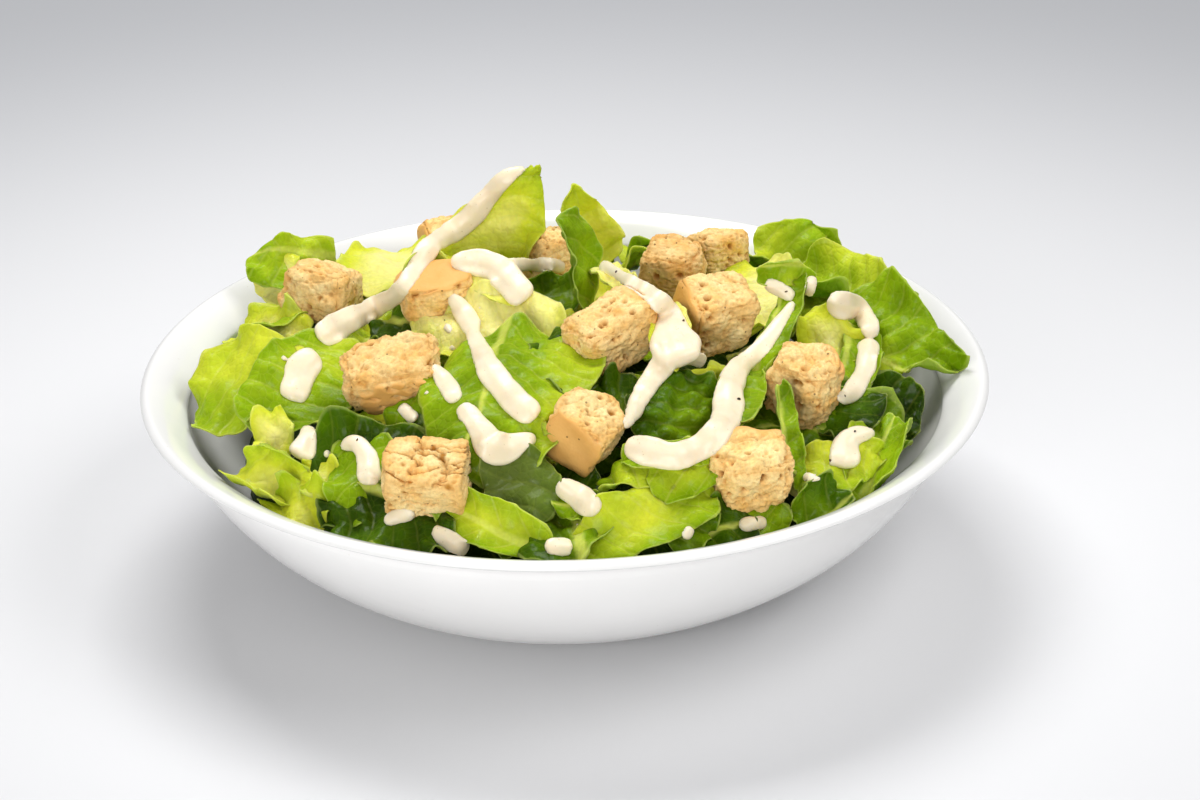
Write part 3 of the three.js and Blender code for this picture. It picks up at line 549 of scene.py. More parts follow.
def makeCroutons():
    tree, bread = crumbTree(), toastedBread()
    made = []
    for k, crouton in enumerate(croutons):
        crouton = {**croutonDefaults, **crouton}
        points, quads, nearEdge = croutonShape(crouton, k + 1, croutonLook["cuts"])
        turn = np.array(Euler([rad(angle) for angle in crouton["turn"]], "XYZ").to_matrix())
        points = points @ turn.T + np.array(crouton["place"])
        normals = pointNormals(points, quads)
        crustSide = np.array(crouton["crust"], float)
        crustSide /= np.linalg.norm(crustSide)
        x, z = points[:, 0], points[:, 2]
        ragged = 0.08 * np.sin(x * 1.1 + z * 0.7 + k) + 0.06 * np.sin(z * 2.3 + k)
        crust = smoothStep(croutonLook["crustFrom"], croutonLook["crustTo"], normals @ crustSide + ragged)
        name = "crouton_%02d" % (k + 1)
        mesh = plainMesh(name, points, quads, {
            "crust": crust, "corner": nearEdge, "bake": np.full(len(points), crouton["bake"])})
        piece = throughNodes(mesh, tree, {
            "Seed": 0.1 * (k + 1), "Swell": croutonLook["swell"] * mm,
            "CrustDent": croutonLook["crustDent"] * mm,
            "HoleSize": croutonLook["holeSize"] * mm,
            "HoleDepth": croutonLook["holeDepth"] * mm * crouton["holes"],
            "GrainSize": croutonLook["grainSize"] * mm, "GrainDepth": croutonLook["grainDepth"] * mm,
            "LumpSize": croutonLook["lumpSize"] * mm,
            "LumpDepth": croutonLook["lumpDepth"] * mm * crouton["lumps"],
            "CrackSize": croutonLook["crackSize"] * mm,
            "CrackDepth": croutonLook["crackDepth"] * mm * crouton["cracks"],
            "Material": bread}, "toast_%02d" % (k + 1))
        made.append(finishPiece(piece, None, "crouton", name))
    return made


toasts = makeCroutons()
print("croutons toasted")


# Heap of leaves. root and tip are the ends of a leaf's chord, face is where its upper side looks: degrees
# round Z from the front, then degrees up. bend, cup, fold, twist and tipCurl are degrees too. rib is its
# place across the blade, in half widths, and cell the size of a blister

heap = dict(top=12, edge=-9, radius=96, shift=8)
leafDefaults = dict(
    kind="mid", bend=25, cup=18, fold=0, rib=None, twist=0, tipCurl=0, round=0.85, taper=0, jag=0.05,
    cell=3.9, ruffle=1.2, waves=5, ripple=1.0,
)

leaves = {
    "tall": dict(root=(-23, 38, 63), tip=(-6, 34, 96), face=(0, 5), width=22, kind="heart", tone=0.14,
        bend=15, cup=10, taper=-0.75, ruffle=0.8, blister=0.9),
    "tallLow": dict(root=(-17, 44, 63), tip=(-34, 60, 60), face=(0, 50), width=16, kind="heart", tone=0.22,
        ruffle=2),
    "backStand": dict(root=(9, 44, 61), tip=(4, 40, 86), face=(10, 0), width=15.5, tone=0.22, bend=15,
        taper=-0.35, round=0.8, blister=0.5),
    "blade": dict(root=(6, 8, 60), tip=(2, 22, 87), face=(65, 10), width=17, tone=0.66, twist=25, jag=0.02,
        ruffle=0.7),
    "loop": dict(root=(-9, 18, 68), tip=(5, 13, 68), face=(0, 60), width=16, kind="deep", bend=-120),
    "pale": dict(root=(-39, 0, 64), tip=(0, -12, 65), face=(0, 60), width=25, kind="heart", tone=0.04,
        round=0.7, ruffle=2),
    "big": dict(root=(-8, -13, 69), tip=(-19.5, -73, 56), face=(-10, 60), width=45, tone=0.52, bend=45,
        cup=-25, tipCurl=40, taper=-0.12, ruffle=2, rib=0.25, blister=0.6),
    "bigRight": dict(root=(-2, -14, 68), tip=(6, -46, 62), face=(40, 55), width=22, kind="deep", cup=-20),
    # under: the dull grey-green is its own underside, its dark tone 0.9 is painted shade below the big leaf's
    # lip
    "under": dict(root=(-10, -80, 46), tip=(-11, -64, 61), face=(0, 10), width=19, kind="under", tone=0.9),
    "bullate": dict(root=(21, -56, 57), tip=(34, -32, 65), face=(20, 60), width=25, kind="deep", tone=0.82,
        bend=55, cup=-45, blister=3.6, cell=5.5),
    "hook": dict(root=(43, -46, 55), tip=(62, 4, 78), face=(-25, 20), width=8, tone=0.68, bend=-10, cup=35,
        taper=0.2, ruffle=0.5),
    "hookTop": dict(root=(65, 3, 75.5), tip=(50, 0, 77), face=(0, 25), width=8, tone=0.55, bend=40, cup=70,
        ruffle=0.4),
    "rimBack": dict(root=(66, 66, 40), tip=(66, 78, 60), face=(15, 5), width=32, tone=0.36, bend=10, cup=20,
        round=0.6),
    "rimMid": dict(root=(64, 66, 49), tip=(86, 25, 46), face=(-35, 45), width=32, tone=0.38, bend=15,
        cup=10, jag=0.03, ruffle=1.8),
    "rimSide": dict(root=(70, 22, 54), tip=(103, -4, 52), face=(-40, 55), width=29, tone=0.5, taper=-0.6,
        jag=0.04, ruffle=2.2, blister=0.9),
    "paleBack": dict(root=(53, 4, 60), tip=(50, 45, 61), face=(0, 50), width=22, kind="heart", tone=0.12),
    "curly": dict(root=(60, -2, 60), tip=(77, 0, 57), face=(10, 50), width=20, kind="heart", tone=0.25,
        ruffle=2),
    "arch": dict(root=(24, -71, 50), tip=(9, -71, 52), face=(0, 75), width=10, tone=0.5, bend=170, cup=20,
        ruffle=1),
    "frontBright": dict(root=(2, -88, 44.5), tip=(37, -75, 52), face=(-10, 50), width=18, kind="heart",
        tone=0.36, taper=-0.1, round=0.8, jag=0.06, ruffle=1.2),
    "frontBright2": dict(root=(20, -76, 56), tip=(38, -72, 57), face=(0, 50), width=12, kind="heart",
        tone=0.34, taper=-0.3, round=0.9, ruffle=0.7, rib=1.6),
    "frontLeft": dict(root=(-4, -88, 44), tip=(-31, -75, 51), face=(-10, 45), width=14, kind="heart",
        tone=0.36, cup=40, round=0.9, ruffle=0.8),
    "stand": dict(root=(57, -66, 46), tip=(54, -44, 68), face=(10, 10), width=5.5, tone=0.6, cup=60,
        twist=25, ruffle=0.5),
    "frontRight": dict(root=(34, -74, 45), tip=(54, -76, 41), face=(0, 50), width=18, tone=0.62),
    "rightCurl": dict(root=(56, -73, 43), tip=(67, -64, 48), face=(10, 30), width=14, kind="deep", cup=60),
    "rightSpear": dict(root=(60, -58, 47), tip=(80, -46, 48), face=(0, 60), width=15, taper=-0.4),
    "rightFold": dict(root=(73, -59, 42), tip=(84, -34, 51), face=(-30, 40), width=18, fold=30),
    "rightDark": dict(root=(75, -18, 50), tip=(90, -26, 45), face=(-20, 60), width=22, kind="deep"),
    "leftLobe": dict(root=(-66, -16, 57), tip=(-96, -9, 49), face=(-20, 60), width=34, tone=0.34, bend=40,
        jag=0.03, ruffle=1.5),
    "leftRib": dict(root=(-52, -8, 60), tip=(-80, -31, 52), face=(-10, 55), width=30, tone=0.54),
    "leftTop": dict(root=(-46, 4, 57), tip=(-70, -9, 54), face=(0, 60), width=22, tone=0.5),
    "yellowScoop": dict(root=(-62, -60, 46), tip=(-80, -45, 48), face=(0, 35), width=20, kind="heart",
        tone=0.25, cup=110),
    "yellowLip": dict(root=(-57, -68, 45), tip=(-73, -60, 45), face=(-10, 50), width=15, kind="heart",
        tone=0.22, ruffle=2.4),
    "leftStand": dict(root=(-48, -75, 45), tip=(-49, -50, 57), face=(-15, 40), width=20, tone=0.5,
        tipCurl=60),
    "frontDark": dict(root=(-59, -68, 45), tip=(-27, -85, 46), face=(0, 60), width=22, kind="deep",
        ruffle=1.5, waves=7),
    "rimLeft": dict(root=(-62, 60, 56), tip=(-87, 50, 60), face=(10, 45), width=17, tone=0.5, bend=40,
        round=1),
    "paleLeft": dict(root=(-50, 34, 59), tip=(-48, 76, 54), face=(0, 45), width=26, kind="heart",
        tone=0.15),
    "frill": dict(root=(-69, 13, 54), tip=(-87, 31, 50), face=(0, 50), width=22, kind="heart", tone=0.2,
        ruffle=2.2),
    "darkRight": dict(root=(65, -40, 51), tip=(78, -22, 53), face=(0, 60), width=18, kind="deep"),
}


smallLeaves = {
    "rimLeftLow": dict(root=(-74, 46, 52), tip=(-80, 56, 60), face=(-10, 30), width=16, kind="heart"),
    "midDark": dict(root=(-50, 15, 60), tip=(-32, -6, 60), face=(0, 60), width=16, kind="deep"),
    "ribPiece": dict(root=(-73, -44, 46), tip=(-73, -29, 55), face=(-10, 20), width=11, kind="heart",
        tone=0.03),
    "leftYellow": dict(root=(-56, -62, 49), tip=(-66, -53, 50), face=(0, 50), width=12, kind="heart"),
    "dimple": dict(root=(9, -41, 59), tip=(21, -35, 60), face=(0, 60), width=17, kind="deep"),
    # darkGap: a dark outer leaf whose dark tone also stands in for the shade in that gap
    "darkGap": dict(root=(-44, -42, 56), tip=(-28, -47, 58), face=(0, 60), width=18, kind="deep"),
    "darkStand": dict(root=(-24, -76, 46), tip=(-22, -62, 57), face=(0, 30), width=14, kind="deep"),
    "frontFarRight": dict(root=(29, -83, 43), tip=(47, -78, 44), face=(0, 60), width=18, kind="deep"),
    "sliver": dict(root=(10, -77, 50), tip=(-3, -76, 51), face=(0, 50), width=9),
    # underCrouton: a dark leaf as painted shadow where the crouton shades the heap
    "underCrouton": dict(root=(-4, -66, 49), tip=(9, -64, 51), face=(0, 60), width=12, kind="deep"),
    "smallFront": dict(root=(24, -85, 44), tip=(35, -74, 48), face=(0, 50), width=14, kind="deep"),
    "restBack": dict(root=(-30, 37, 68), tip=(-38.5, 9, 75), face=(0, 60), width=12, kind="heart", tone=0.3,
        ruffle=0.6),
    "restMiddle": dict(root=(8, 26, 68), tip=(18, -8, 77), face=(0, 60), width=7.5, kind="heart", tone=0.08,
        ruffle=0.5),
    "restRight": dict(root=(47.5, -20, 61), tip=(41, -63, 63), face=(0, 60), width=11.5, tone=0.66,
        ruffle=0.6),
    "restCentre": dict(root=(24, -4, 72), tip=(29, -38, 69), face=(0, 60), width=11, kind="heart",
        tone=0.03, ruffle=0.5),
    "restSide": dict(root=(79, 12, 57), tip=(74, -26, 53.5), face=(0, 60), width=11, tone=0.5, ruffle=0.6),
    "restPale": dict(root=(-26, 20, 72), tip=(-11, -4, 73.5), face=(0, 60), width=13, kind="heart",
        tone=0.05, ruffle=0.5),
    "restFront": dict(root=(38, -70, 60.5), tip=(13, -71, 59.5), face=(0, 60), width=9, tone=0.55,
        ruffle=0.5),
}


# tone runs from 0, the pale yellow heart, to 1, the dark outer leaf; blister is how far it puffs up, and
# marginTone how much darker the margin is than the middle. piece is the object that holds the kind
leafKinds = {
    "heart": dict(tone=0.1, blister=0.4, marginTone=0.22, piece="heartLeaves"),
    "mid": dict(tone=0.42, blister=0.6, marginTone=0.06, piece="greenLeaves"),
    "deep": dict(tone=0.8, blister=1.0, marginTone=0.06, piece="darkLeaves"),
    "under": dict(tone=0.6, blister=0.35, marginTone=0.06, piece="darkLeaves"),
}
leafLook = dict(
    spacing=0.56, backSpacing=0.8, wallGap=1.0, crumple=0.85, frill=1.4, thickness=0.55,
    marginThickness=0.3, ribWidth=1.7, ribHeight=0.9, veinSpacing=7.0, veinSlope=0.75,
    tones={0.0: "#f6ef8e", 0.2: "#d5dc38", 0.5: "#8ba90e", 0.8: "#476803", 1.0: "#213702"},
    # margin is the cut edge's pale colour, partly its own and partly painted highlight on the lit rim
    vein="#d9df66", margin="#dfe58c", underside="#8c9a46",
)
# the hollow that a crouton presses into the leaves
nest = dict(radius=12.5, sides=52, rise=3)
# leaves behind and under the placed ones, in arcs round the heap; angles are from the +X side
fillerKinds = ("mid", "deep", "mid", "heart", "deep")
fillerArcs = [
    dict(radius=84, start=12, end=168, count=7, kinds=fillerKinds),
    dict(radius=58, start=25, end=155, count=5, kinds=fillerKinds),
    dict(radius=30, start=60, end=120, count=1, kinds=fillerKinds),
    dict(radius=74, start=195, end=345, count=3, kinds=("deep",)),
]
fillerSeed = 501
smallSeed = 301
scrapSeed = 401


def heapHeight(x, y):
    spread = (x * x + (y - heap["shift"]) ** 2) / heap["radius"] ** 2
    return bowl["rimHeight"] + heap["top"] - (heap["top"] - heap["edge"]) * spread


def fillerLeaves():
    fillers = []
    for arc in fillerArcs:
        radius, start, end, kinds = arc["radius"], arc["start"], arc["end"], arc["kinds"]
        for k in range(arc["count"]):
            seed = fillerSeed + len(fillers)
            angle = rad(start + (end - start) * (k + between(0.2, 0.8, seed, 1)) / arc["count"])
            x, y = radius * math.cos(angle), radius * math.sin(angle)
            z = heapHeight(x, y) - 3 + between(-1, 2, seed, 2)
            half = between(36, 48, seed, 3) / 2
            yaw = between(0, 2 * math.pi, seed, 5)
            rise = between(-3, 5, seed, 6)
            reachX, reachY = math.cos(yaw) * half, math.sin(yaw) * half
            fillers.append(dict(
                root=(x - reachX, y - reachY, z - rise), tip=(x + reachX, y + reachY, z + rise),
                face=(math.degrees(math.atan2(x, -y)), 90 - radius * 0.45 + between(-15, 15, seed, 7)),
                width=between(26, 34, seed, 4), bend=between(10, 60, seed, 8),
                cup=between(-30, 30, seed, 9), ruffle=between(0.8, 2.2, seed, 10),
                kind=kinds[int(draw(seed, 11) * len(kinds))]))
    return fillers


def ramp(distance):
    # starts half way out and grows faster and faster towards the end
    return np.maximum(0.0, distance - 0.5) ** 2 * 4


def headingRun(heading, at):
    # run, rise and heading along a path whose heading, in radians, is known a little past -1 and 1
    steps = 160
    run = np.linspace(-1.6, 1.6, steps + 1)
    turn = heading(run)
    step = run[1] - run[0]
    along = np.concatenate([[0], np.cumsum((np.cos(turn[1:]) + np.cos(turn[:-1])) * step / 2)])
    rise = np.concatenate([[0], np.cumsum((np.sin(turn[1:]) + np.sin(turn[:-1])) * step / 2)])
    middle = steps // 2
    return (np.interp(at, run, along - along[middle]), np.interp(at, run, rise - rise[middle]),
            np.interp(at, run, turn))


def clearCroutons(points):
    # croutons press the leaves away from themselves, mostly downwards
    for crouton in croutons:
        centre = np.array(crouton["place"], float) + (0, 0, nest["rise"])
        reach = nest["radius"] * sum(crouton["size"]) / nest["sides"]
        offset = points - centre
        distance = np.maximum(np.linalg.norm(offset, axis=-1, keepdims=True), 0.01)
        pushed = np.sqrt(distance ** 2 + (reach * np.clip(1 - (distance / reach) ** 2, 0, 1)) ** 2)
        points = np.where(distance < reach, centre + offset / distance * pushed, points)
    return points


def keepInBowl(points):
    radial = np.hypot(points[..., 0], points[..., 1])
    scale = np.minimum(1, (innerRadius(points[..., 2]) - leafLook["wallGap"]) / np.maximum(radial, 0.01))
    return points * np.stack([scale, scale, np.ones_like(scale)], -1)


def leafSurface(leaf, seed, spacing):
    # the blade's middle surface on a grid, with the flat place of each point and how near the margin it is
    root, tip = np.array(leaf["root"], float), np.array(leaf["tip"], float)
    chord = np.linalg.norm(tip - root)
    halfBend = rad(leaf["bend"]) / 2
    bent = abs(halfBend) > 1e-4
    halfLength = chord / 2 / (math.sin(halfBend) / halfBend if bent else 1)
    sag = (1 - math.cos(halfBend)) / halfBend * halfLength if bent else 0
    halfWidth = leaf["width"] / 2
    rows, columns = int(2 * halfLength / spacing) + 2, int(2 * halfWidth / spacing) + 2
    s, t = np.meshgrid(np.linspace(-1, 1, rows), np.linspace(-1, 1, columns), indexing="ij")
    edge = (s ** 6 + t ** 6) ** (1 / 6)
    around = np.arctan2(t, s)
    phase = [2 * math.pi * draw(seed, k) for k in range(8)]

    # outline: rounded, tapered and toothed, first in half widths and half lengths
    teeth = (np.sin(2 * around + phase[0]) + 0.8 * np.sin(3 * around + phase[1])
             + 0.6 * np.sin(7 * around + phase[2]) + 0.1 * np.sin(19 * around + phase[3]))
    jag = 1 + leaf["jag"] * edge ** 3 * teeth
    square = 1 - leaf["round"]
    across = t * (square + leaf["round"] * np.sqrt(1 - s * s / 2)) * jag * (1 + leaf["taper"] * s)
    along = s * (square + leaf["round"] * np.sqrt(1 - t * t / 2)) * jag
    flatX, flatY = across * halfWidth, along * halfLength

    # bends along the blade and across it
    spineRun, spineRise, spineTurn = headingRun(
        lambda p: -(halfBend * p + rad(leaf["tipCurl"]) * ramp(p)), along)
    sectionRun, sectionRise, _ = headingRun(
        lambda p: rad(leaf["cup"]) * p + rad(leaf["fold"]) * np.tanh(p * 5), across)

    # crumples and waves all over, a frill at the margin
    crumple = leafLook["crumple"] * (
        np.sin(flatX / 3.1 + flatY / 4.7 + phase[6]) * np.sin(flatY / 3.6 - flatX / 6.1 + phase[2])
        + 0.6 * np.sin(flatX / 1.9 - flatY / 2.7 + phase[1]) * np.sin(flatY / 2.3 + phase[0]))
    wave = leaf["ripple"] * np.sin(flatX / 4.2 + phase[3]) * np.sin(flatY / 5.1 + phase[4])
    frill = leafLook["frill"] * leaf["ruffle"] * edge ** 4 * (
        np.sin(leaf["waves"] * around + phase[5]) + 0.3 * np.sin((2 * leaf["waves"] + 1) * around + phase[6]))
    fine = 0.1 * leaf["ruffle"] * edge ** 6 * np.sin((4 * leaf["waves"] + 3) * around + phase[7])
    flat = sectionRun * halfWidth
    lifted = sectionRise * halfWidth + wave + frill + fine + crumple
    roll = rad(leaf["twist"]) * along
    sideways = flat * np.cos(roll) - lifted * np.sin(roll)
    lift = flat * np.sin(roll) + lifted * np.cos(roll)

    # the blade in the bowl's directions
    forward = (tip - root) / chord
    azimuth, elevation = rad(leaf["face"][0]), rad(leaf["face"][1])
    normal = np.array([math.sin(azimuth) * math.cos(elevation), -math.cos(azimuth) * math.cos(elevation),
                       math.sin(elevation)])
    normal -= normal.dot(forward) * forward
    normal /= np.linalg.norm(normal)
    right = np.cross(forward, normal)
    points = ((root + tip) / 2
              + (spineRun * halfLength - lift * np.sin(spineTurn))[..., None] * forward
              + (spineRise * halfLength + sag + lift * np.cos(spineTurn))[..., None] * normal
              + sideways[..., None] * right)
    return keepInBowl(clearCroutons(points)), flatX, flatY, edge


def gridNormals(points):
    alongStep, acrossStep = np.gradient(points, axis=0), np.gradient(points, axis=1)
    normals = np.cross(acrossStep, alongStep)
    return normals / np.maximum(np.linalg.norm(normals, axis=-1, keepdims=True), 1e-9)


def leafBlade(leaf, seed, spacing):
    # closed blade: veins sunk into the upper side, the parts between them puffed up, the rib proud below
    leaf = {**leafDefaults, **leaf}
    kind = leafKinds[leaf["kind"]]
    middle, across, along, edge = leafSurface(leaf, seed, spacing)
    halfWidth = leaf["width"] / 2
    ribShare = between(-1.7, 1.7, seed, 20) if leaf["rib"] is None else leaf["rib"]
    rib = across - ribShare * halfWidth + 0.9 * np.sin(along / 9 + seed)
    away = np.abs(rib)
    upLeaf = np.clip((along - along.min()) / np.ptp(along), 0, 1)
    warp = 1.1 * np.sin(away / 4.3 + seed) + 0.8 * np.sin(along / 5.7 + away / 8 + 2 * seed)
    veinRun = (along - leafLook["veinSlope"] * away + 0.008 * away ** 2 + warp) / leafLook["veinSpacing"]
    veinRun = veinRun + np.where(rib < 0, 0.5, 0)
    veinGap = np.abs(veinRun - np.floor(veinRun) - 0.5) * leafLook["veinSpacing"]
    ribWidth = leafLook["ribWidth"] * (1.15 - upLeaf)
    onRib = 1 - smoothStep(ribWidth * 0.4, ribWidth * 1.1, away)
    nearest = nearCell(
        across + 0.8 * np.sin(along / 3), along + 0.8 * np.sin(across / 2.6), leaf["cell"], seed)
    puff = 1 - smoothStep(0, 0.67 * leaf["cell"], nearest)
    inside = 1 - smoothStep(0.8, 1.0, edge)
    blister = leaf.get("blister", kind["blister"])
    puffed = blister * (0.5 * puff - 0.3) + min(blister, 1.0) * 0.8 * (smoothStep(0.0, 3.0, veinGap) - 0.5)
    lift = puffed * (1 - onRib)
    lift -= 0.3 * np.exp(-(veinGap / 0.5) ** 2) * (1 - onRib)
    lift -= 0.25 * onRib
    upper = keepInBowl(middle + gridNormals(middle) * (lift * (0.35 + 0.65 * inside))[..., None])
    thickness = leafLook["marginThickness"] + (leafLook["thickness"] - leafLook["marginThickness"]) * inside
    below = thickness + leafLook["ribHeight"] * onRib * (1.1 - upLeaf) + 0.18 * np.exp(-(veinGap / 0.6) ** 2)
    lower = upper - gridNormals(upper) * below[..., None]

    # the two sides as quads, joined by a wall round the rim
    rows, columns = across.shape
    count = rows * columns
    number = np.arange(count).reshape(rows, columns)
    face = np.stack([number[:-1, :-1], number[:-1, 1:], number[1:, 1:], number[1:, :-1]], -1).reshape(-1, 4)
    rim = np.concatenate([number[0, :-1], number[:-1, -1], number[-1, :0:-1], number[:0:-1, 0]])
    nextOnRim = np.roll(rim, -1)
    wall = np.stack([rim, rim + count, nextOnRim + count, nextOnRim], -1)
    quads = np.vstack([face, face[:, ::-1] + count, wall])
    tone = leaf.get("tone", kind["tone"] + between(-0.1, 0.1, seed, 21)) + 0.10 * np.sin(across / 7 + seed) \
        + kind["marginTone"] * (edge - 0.6) + 0.08 * (upLeaf - 0.5)
    values = {name: np.tile(field.ravel(), 2) for name, field in (
        ("tone", tone), ("veinRun", veinRun), ("onRib", onRib), ("margin", edge))}
    values["underside"] = np.concatenate([np.full(count, float(leaf["kind"] == "under")), np.ones(count)])
    flat = np.tile(np.stack([across.ravel(), along.ravel()], 1), (2, 1)) * mm
    return np.vstack([upper.reshape(-1, 3), lower.reshape(-1, 3)]), quads, values, flat


def joinedBlades(name, blades):
    # several blades in one mesh
    points, quads, values, flats, count = [], [], {}, [], 0
    for bladePoints, bladeQuads, bladeValues, flat in blades:
        points.append(bladePoints)
        quads.append(bladeQuads + count)
        flats.append(flat)
        for key, run in bladeValues.items():
            values.setdefault(key, []).append(run)
        count += len(bladePoints)
    joined = {key: np.concatenate(run) for key, run in values.items()}
    return newObject(name, plainMesh(name, np.vstack(points), np.vstack(quads), joined, np.vstack(flats)))


def romaineBlade():
    # Washed romaine: a thin waxy skin over wet cells, pale rib and veins, light that passes through the blade
    material, tree, shader = newMaterial("washedRomaine")
    place = addNode(tree, "ShaderNodeTexCoord").outputs["Object"]
    flat = addNode(tree, "ShaderNodeUVMap", uv_map="flat").outputs[0]
    tone, veinRun, onRib, margin, underside = (
        addNode(tree, "ShaderNodeAttribute", attribute_name=name).outputs["Fac"]
        for name in ("tone", "veinRun", "onRib", "margin", "underside"))
    cloud = addNode(tree, "ShaderNodeTexNoise", {
        "Vector": place, "Scale": 1 / (11 * mm), "Detail": 3.0}).outputs[0]
    shifted = addNode(tree, "ShaderNodeMath", {0: cloud, 1: 0.34, 2: tone},
                      operation="MULTIPLY_ADD").outputs[0]
    centred = addNode(tree, "ShaderNodeMath", {0: shifted, 1: 0.17}, operation="SUBTRACT").outputs[0]
    green = addNode(tree, "ShaderNodeValToRGB", {0: centred})
    stops = green.color_ramp.elements
    stops[0].color, stops[1].color = hexColour(leafLook["tones"][0.0]), hexColour(leafLook["tones"][1.0])
    for position, colour in leafLook["tones"].items():
        if 0 < position < 1:
            stops.new(position).color = hexColour(colour)

    sideVein = addNode(tree, "ShaderNodeMath", {0: veinRun}, operation="FRACT").outputs[0]
    fromVein = addNode(tree, "ShaderNodeMath", {0: sideVein, 1: 0.5}, operation="SUBTRACT").outputs[0]
    veinGap = addNode(tree, "ShaderNodeMath", {0: fromVein}, operation="ABSOLUTE").outputs[0]
    veinLine = addNode(tree, "ShaderNodeMapRange", {0: veinGap, 1: 0.02, 2: 0.075, 3: 0.22, 4: 0.0},
                       interpolation_type="SMOOTHSTEP").outputs[0]
    net = addNode(tree, "ShaderNodeTexVoronoi", {"Vector": flat, "Scale": 1 / (1.9 * mm)},
                  feature="DISTANCE_TO_EDGE", voronoi_dimensions="2D").outputs["Distance"]
    netLine = addNode(tree, "ShaderNodeMapRange", {0: net, 1: 0.0, 2: 0.09, 3: 0.1, 4: 0.0},
                      interpolation_type="SMOOTHSTEP").outputs[0]
    allLines = addNode(tree, "ShaderNodeMath", {0: veinLine, 1: netLine}, operation="MAXIMUM").outputs[0]
    # on dark leaf the veins hardly show
    clear = addNode(tree, "ShaderNodeMapRange", {0: tone, 1: 0.45, 2: 0.8, 3: 1.0, 4: 0.3}).outputs[0]
    lines = addNode(tree, "ShaderNodeMath", {0: allLines, 1: clear}, operation="MULTIPLY").outputs[0]
    ribShare = addNode(tree, "ShaderNodeMath", {0: onRib, 1: 0.65}, operation="MULTIPLY").outputs[0]
    pale = addNode(tree, "ShaderNodeMath", {0: lines, 1: ribShare}, operation="MAXIMUM").outputs[0]
    # the cut edge paler: partly the blade's own paler edge, partly painted highlight along the lit rim
    cutEdgeAndHighlight = addNode(tree, "ShaderNodeMapRange", {0: margin, 1: 0.965, 2: 0.995, 3: 0.0, 4: 0.2}).outputs[0]
    dull = addNode(tree, "ShaderNodeMath", {0: underside, 1: 0.35}, operation="MULTIPLY").outputs[0]
    tint = green.outputs[0]
    for share, colour in ((pale, "vein"), (cutEdgeAndHighlight, "margin"), (dull, "underside")):
        tint = addNode(tree, "ShaderNodeMix", {0: share, 6: tint, 7: hexColour(leafLook[colour])},
                       data_type="RGBA").outputs[2]
    mottle = addNode(tree, "ShaderNodeTexNoise", {
        "Vector": flat, "Scale": 1 / (1.3 * mm), "Detail": 2.0}).outputs[0]
    mottled = addNode(tree, "ShaderNodeMapRange", {0: mottle, 1: 0.3, 2: 0.7, 3: 0.94, 4: 1.06}).outputs[0]
    coloured = addNode(tree, "ShaderNodeVectorMath", {0: tint, 3: mottled}, operation="SCALE").outputs[0]
    # the waxy skin's grain is finer than this, and drawn as coarse as it needs to show
    skin = addNode(tree, "ShaderNodeTexNoise", {
        "Vector": flat, "Scale": 1 / (0.9 * mm), "Detail": 2.0}).outputs[0]
    netHeight = addNode(tree, "ShaderNodeMapRange", {0: net, 1: 0.0, 2: 0.25, 3: 0.0, 4: 1.0}).outputs[0]
    relief = addNode(tree, "ShaderNodeMath", {0: skin, 1: 0.5, 2: netHeight},
                     operation="MULTIPLY_ADD").outputs[0]
    bump = addNode(tree, "ShaderNodeBump", {
        "Height": relief, "Strength": 0.4, "Distance": 0.25 * mm}).outputs[0]
    wet = addNode(tree, "ShaderNodeTexNoise", {
        "Vector": place, "Scale": 1 / (5 * mm), "Detail": 2.0}).outputs[0]
    rough = addNode(tree, "ShaderNodeMapRange", {0: wet, 1: 0.35, 2: 0.65, 3: 0.38, 4: 0.62}).outputs[0]
    setInputs(tree, shader, {
        "Base Color": coloured, "Roughness": rough, "Normal": bump, "IOR": 1.42,
        "Specular IOR Level": 0.03, "Subsurface Weight": 0.6, "Subsurface Radius": (0.8, 1.0, 0.25),
        "Subsurface Scale": 1.8 * mm, "Coat Weight": 0.14, "Coat Roughness": 0.18})
    return material


def makeLeaves():
    romaine = romaineBlade()
    groups = {"heartLeaves": [], "greenLeaves": [], "darkLeaves": [], "smallLeaves": [], "backLeaves": []}
    for k, leaf in enumerate(leaves.values()):
        kind = leafKinds[leaf.get("kind", leafDefaults["kind"])]
        groups[kind["piece"]].append(leafBlade(leaf, k + 1, leafLook["spacing"]))
    for k, leaf in enumerate(fillerLeaves()):
        groups["backLeaves"].append(leafBlade(leaf, len(leaves) + k + 1, leafLook["backSpacing"]))
    for k, leaf in enumerate(smallLeaves.values()):
        groups["smallLeaves"].append(leafBlade(leaf, smallSeed + k, leafLook["spacing"]))
    made = []
    for name, blades in groups.items():
        made.append(finishPiece(joinedBlades(name, blades), romaine, "salad", "salad"))
        print(name, len(blades), "blades,", sum(len(blade[1]) for blade in blades) * 2, "triangles")
    return made, romaine


leafPieces, romaine = makeLeaves()


# Inside of the heap: one imported body of leaf, painted darkest as the shade deep between the leaves, with
# scraps of leaf pressed into its top

# tone, darker than any placed leaf, is painted shade deep in the gaps of the heap
coreLook = dict(
    sink=13, brimFall=16, brimFrom=70, brimTo=97, bump=1.4, wallGap=1.4, rings=46, sectors=150, reach=99,
    wallTop=24, wallRings=12, low=7, tone=1.05, scraps=90, scrapReach=80, scrapDraw=3, scrapSpacing=1.1,
    scrapKinds=("heart", "mid", "deep", "mid", "deep"),
)


def packedTop(x, y, radius):
    brim = coreLook["brimFall"] * smoothStep(coreLook["brimFrom"], coreLook["brimTo"], radius)
    waves = np.sin(x / 7.5 + 1) * np.sin(y / 6.3) + 0.7 * np.sin(x / 3.7 + y / 5.1) * np.sin(y / 4.1 + 2)
    return heapHeight(x, y) - coreLook["sink"] - brim + coreLook["bump"] * waves


